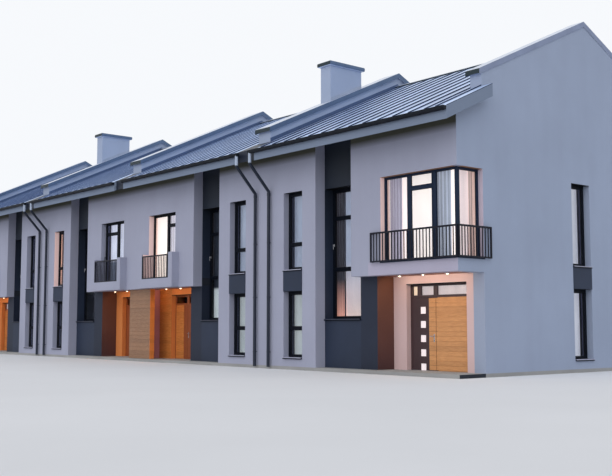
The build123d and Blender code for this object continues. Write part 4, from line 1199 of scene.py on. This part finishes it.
def door_boards():
    """Boards on two of the leaves, over the fixed panels, and on the middle porch's back wall."""
    fixed = Shape("panel_boards", "wood_boards")
    low, high = SLAB_T + BOARD_FOOT, TRANSOM_Z - BOARD_HEAD
    front = DOOR_Y - BOARD_T
    for h in ROW:
        start = LOCK_EDGE + LOCK_GAP + (LOCK_POST_W if h.s < 0 else 0.0)
        stack(fixed, h.x(start + BOARD_TRIM), h.x(h.door_end - DOOR_FRAME_W), front, DOOR_Y, low, high,
              PANEL_BOARD)
        if h.s > 0:
            leaf = Shape(f"leaf_boards_{h.name}", "wood_boards", body=f"door_{h.name}")
            stack(leaf, h.x(LEAF_START + BOARDS_START), h.x(LOCK_EDGE - CLEAR), front, DOOR_Y, low, high,
                  PANEL_BOARD)
            leaf.done(bevel=0.002)
    fixed.done(bevel=0.002)
    wall = Shape("porch_wall_boards", "wood_boards")
    back = FRONT + PORCH_DEPTH
    for h in ROW[1:3]:
        edge = min(abs(x - h.ref) for x, _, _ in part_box("porch_dividers"))
        stack(wall, h.x(h.door_end + BOARD_TRIM), h.x(edge - BOARD_TRIM), back - BOARD_T, back, low,
              SOFFIT_Z - BOARD_TRIM, PANEL_BOARD)
    wall.done(bevel=0.002)


def leaf_panes(h):
    """Small panes in a leaf, with beads round them; the panes glow with painted light of the lit room behind.
    """
    panes = Shape(f"leaf_panes_{h.name}", "glass", LIGHT_PANE, f"door_{h.name}")
    beads = Shape(f"leaf_beads_{h.name}", "door_brown", None, f"door_{h.name}")
    a, b = h.span(LEAF_START + LEAF_LIGHT_SHIFT, LEAF_START + LEAF_LIGHT_SHIFT + LEAF_LIGHT)
    bead_back = DOOR_Y + LEAF_BEAD
    pane_back = DOOR_Y + LEAF_LIGHT_DEPTH - TOUCH
    for i in range(LEAF_LIGHTS):
        top = LEAF_LIGHT_TOP_Z - i * LEAF_LIGHT_PITCH
        low = top - LEAF_LIGHT
        panes.box(a + CLEAR, b - CLEAR, bead_back, pane_back, low + CLEAR, top - CLEAR)
        beads.rim(a + TOUCH, b - TOUCH, low + TOUCH, top - TOUCH, LEAF_BEAD, DOOR_Y + 2 * CLEAR, bead_back)
    panes.done(bevel=0.001)
    beads.done(bevel=0.002)


def door_handle(h):
    """A lever on a long plate and a lock cylinder under it, on both faces of a leaf."""
    lever = Shape(f"door_handle_{h.name}", "door_brown", STEEL, f"door_{h.name}")
    x = h.x(LOCK_EDGE - HANDLE_BACKSET)
    half, thick, foot, top = DOOR_PLATE
    grip, near, far = DOOR_GRIP
    for face, out in ((DOOR_Y - (BOARD_T if h.s > 0 else 0), -1), (DOOR_Y + LEAF_T, 1)):
        start = face + out * (thick - 2 * CLEAR)
        lever.box(x - half, x + half, face, face + out * thick, foot, top)
        lever.rod((x, start, HANDLE_Z), (0, out, 0), LEVER_R, DOOR_STEM)
        lever.box(x - grip, x - h.s * HANDLE_REACH, face + out * near, face + out * far, HANDLE_Z - grip,
                  HANDLE_Z + grip)
        lever.rod((x, start, LOCK_Z), (0, out, 0), LOCK_R, LOCK_OUT)
    lever.done(bevel=0.002)


def door_heads():
    """Glowing films behind the lights over two of the doors, painted light of the lit rooms, and a dark panel
    of painted shade over every entrance.
    """
    film = Shape("transom_films", "glass", TRANSOM_FILM)
    warm = Shape("warm_transom_films", "glass", TRANSOM_WARM)
    head = Shape("entrance_head_liners", "door_brown", HEAD_SHADE)
    post = DOOR_START + TRANSOM_POST
    y0, z0, z1 = DOOR_Y + LEAF_T, TRANSOM_Z + DOOR_FRAME_W, DOOR_HEAD_Z - DOOR_FRAME_W
    for h in ROW:
        # A panel of painted shade under every entrance head
        head.box(h.x(DOOR_START), h.x(h.door_end), FRONT + PORCH_DEPTH + CLEAR, DOOR_Y - TOUCH,
                 DOOR_HEAD_Z - HEAD_LINER_T, DOOR_HEAD_Z)
        if h.name in "ad":
            warm.box(h.x(DOOR_START + DOOR_FRAME_W), h.x(post - CLEAR), y0, y0 + LINER_T, z0, z1)
            film.box(h.x(post), h.x(h.door_end - DOOR_FRAME_W), y0, y0 + LINER_T, z0, z1)
    for piece in (film, warm, head):
        piece.done()


def thresholds():
    """A flat steel threshold under every leaf."""
    sills = Shape("door_thresholds", "door_brown", STEEL)
    for h in ROW:
        sills.box(h.x(DOOR_START + DOOR_FRAME_W), h.x(LOCK_EDGE + LOCK_GAP), DOOR_Y - THRESHOLD_OUT,
                  DOOR_Y + LEAF_T + THRESHOLD_OUT, SLAB_T, SLAB_T + THRESHOLD_T)
    sills.done(bevel=0.001)


def handrails():
    """A flat grip on the top bars of the railings."""
    grip = Shape("handrail_grips", "railing_metal")
    (x0, y0, _), (x1, _, z1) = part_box("corner_railing_front")
    grip.box(x0, x1 + GRIP_OUT, y0 - GRIP_OUT, y0 + RAILING_BAR + GRIP_OUT, z1, z1 + GRIP_T)
    (_, y0, _), (x1, y1, z1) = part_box("corner_railing_side")
    grip.box(x1 - RAILING_BAR - GRIP_OUT, x1 + GRIP_OUT, y0 + RAILING_BAR, y1, z1, z1 + GRIP_T)
    (_, y0, _), (_, y1, z1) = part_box("balcony_railings")
    for h in ROW[1:]:
        grip.box(*h.span(*BALCONY_WINDOW), y0 - GRIP_OUT, y1 + GRIP_OUT, z1, z1 + GRIP_T)
    grip.done(bevel=0.002)


def screens():
    """Level boards on a core, in place of the plain screen where two porches meet."""
    y0, y1 = (FRONT + y for y in SCREEN_Y)
    x0, x1 = PARTY[1] - SCREEN_W / 2, PARTY[1] + SCREEN_W / 2
    piece = Shape("screen_boards", "wood_boards", SCREEN_LOOK)
    stack(piece, x0, x1, y0, y1, SLAB_T, SOFFIT_Z, SCREEN_BOARD)
    piece.box(x0 + SCREEN_CORE, x1 - SCREEN_CORE, y0 + SCREEN_CORE, y1 - SCREEN_CORE, SLAB_T + CLEAR,
              SOFFIT_Z - CLEAR)
    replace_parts(piece.done(bevel=0.003), "porch_screens")


def camera():
    data = bpy.data.cameras.new("camera")
    data.sensor_width = SENSOR_MM
    data.lens = FOCAL_PIXELS / PHOTO_WIDTH * SENSOR_MM
    data.clip_end = CLIP_END
    yaw, pitch = math.radians(CAMERA_YAW), math.radians(CAMERA_PITCH)
    forward = Vector((-math.sin(yaw) * math.cos(pitch), math.cos(yaw) * math.cos(pitch), math.sin(pitch)))
    right = Vector((math.cos(yaw), math.sin(yaw), 0))
    turn = Matrix((right, right.cross(forward), -forward)).transposed().to_4x4()
    place = Vector((RIGHT + CAMERA_FROM_GABLE, FRONT + CAMERA_FROM_FRONT, CAMERA_HEIGHT))
    obj = placed("camera", data)
    obj.matrix_world = Matrix.Translation(place) @ turn
    bpy.context.scene.camera = obj


def aimed(obj, direction):
    """A lamp turned to shine in a direction."""
    obj.rotation_euler = Vector(direction).to_track_quat("-Z", "Y").to_euler()


def sun(name, strength, angle, direction, colour=(1, 1, 1)):
    data = bpy.data.lights.new(name, "SUN")
    data.energy = strength
    data.angle = math.radians(angle)
    data.color = colour
    aimed(placed(name, data), direction)


def porch_lamp(h, d, watts):
    """A soft lamp under the porch ceiling."""
    data = bpy.data.lights.new(f"porch_lamp_{h.name}", "SPOT")
    data.energy = watts
    data.color = END_LAMP_COLOUR if h.is_end else LAMP_COLOUR
    data.spot_size = math.radians(PORCH_SPOT)
    data.spot_blend = PORCH_SPOT_BLEND
    data.shadow_soft_size = LIGHT_R
    obj = placed(data.name, data)
    obj.location = (h.x(d), FRONT + LIGHT_SET, SOFFIT_Z - LIGHT_T - DOME_DROP - LAMP_DROP)
    aimed(obj, LAMP_TURN)


def world():
    """Even pale light, and a paler backdrop for the camera, reflections and glass."""
    w = bpy.data.worlds.new("studio")
    bpy.context.scene.world = w
    w.use_nodes = True
    nodes, links = w.node_tree.nodes, w.node_tree.links
    back = nodes["Background"]
    back.inputs["Color"].default_value = (0.95, 0.97, 1.0, 1)
    back.inputs["Strength"].default_value = 0.55
    shown = nodes.new("ShaderNodeBackground")
    shown.inputs["Color"].default_value = (0.93, 0.95, 0.98, 1)
    shown.inputs["Strength"].default_value = 1.0
    mix = nodes.new("ShaderNodeMixShader")
    path = nodes.new("ShaderNodeLightPath")
    rays = path.outputs["Is Camera Ray"]
    for name in ("Is Glossy Ray", "Is Transmission Ray"):
        add = nodes.new("ShaderNodeMath")
        add.operation = "MAXIMUM"
        links.new(rays, add.inputs[0])
        links.new(path.outputs[name], add.inputs[1])
        rays = add.outputs[0]
    links.new(rays, mix.inputs["Fac"])
    links.new(back.outputs[0], mix.inputs[1])
    links.new(shown.outputs[0], mix.inputs[2])
    links.new(mix.outputs[0], nodes["World Output"].inputs["Surface"])


def floor():
    mesh = bpy.data.meshes.new("floor")
    points = [(x, y, 0) for x, y in corners(-FLOOR_REACH, FLOOR_REACH, -FLOOR_REACH, FLOOR_REACH)]
    mesh.from_pydata(points, [], [(0, 1, 2, 3)])
    look = Look("floor", 0.9)
    look.colour(look.scaled((225, 226, 230), look.cloud(0.98, 1.02, 0.2, 3)))
    mesh.materials.append(look.mat)
    placed("floor", mesh)


dress_nodes()
camera()
world()
sun("key", 1.5, 80, (-0.35, 0.72, -0.6))
sun("fill", 0.22, 60, (-0.95, -0.1, -0.3), (0.6, 0.8, 1.0))
for house in ROW:
    for distance in house.lamps():
        porch_lamp(house, distance, END_PORCH_WATTS if house.is_end else PORCH_WATTS)
porch_lamp(ROW[0], *END_WALL_LAMP)
floor()
sashes()
handles()
sill_covers()
liners()
inner_jambs()
curtains()
flashings()
gutter_brackets()
pipe_clamps()
ceiling_lights()
door_boards()
for house in ROW:
    leaf_panes(house)
    door_handle(house)
door_heads()
thresholds()
handrails()
screens()
bpy.context.scene.view_settings.view_transform = "Standard"
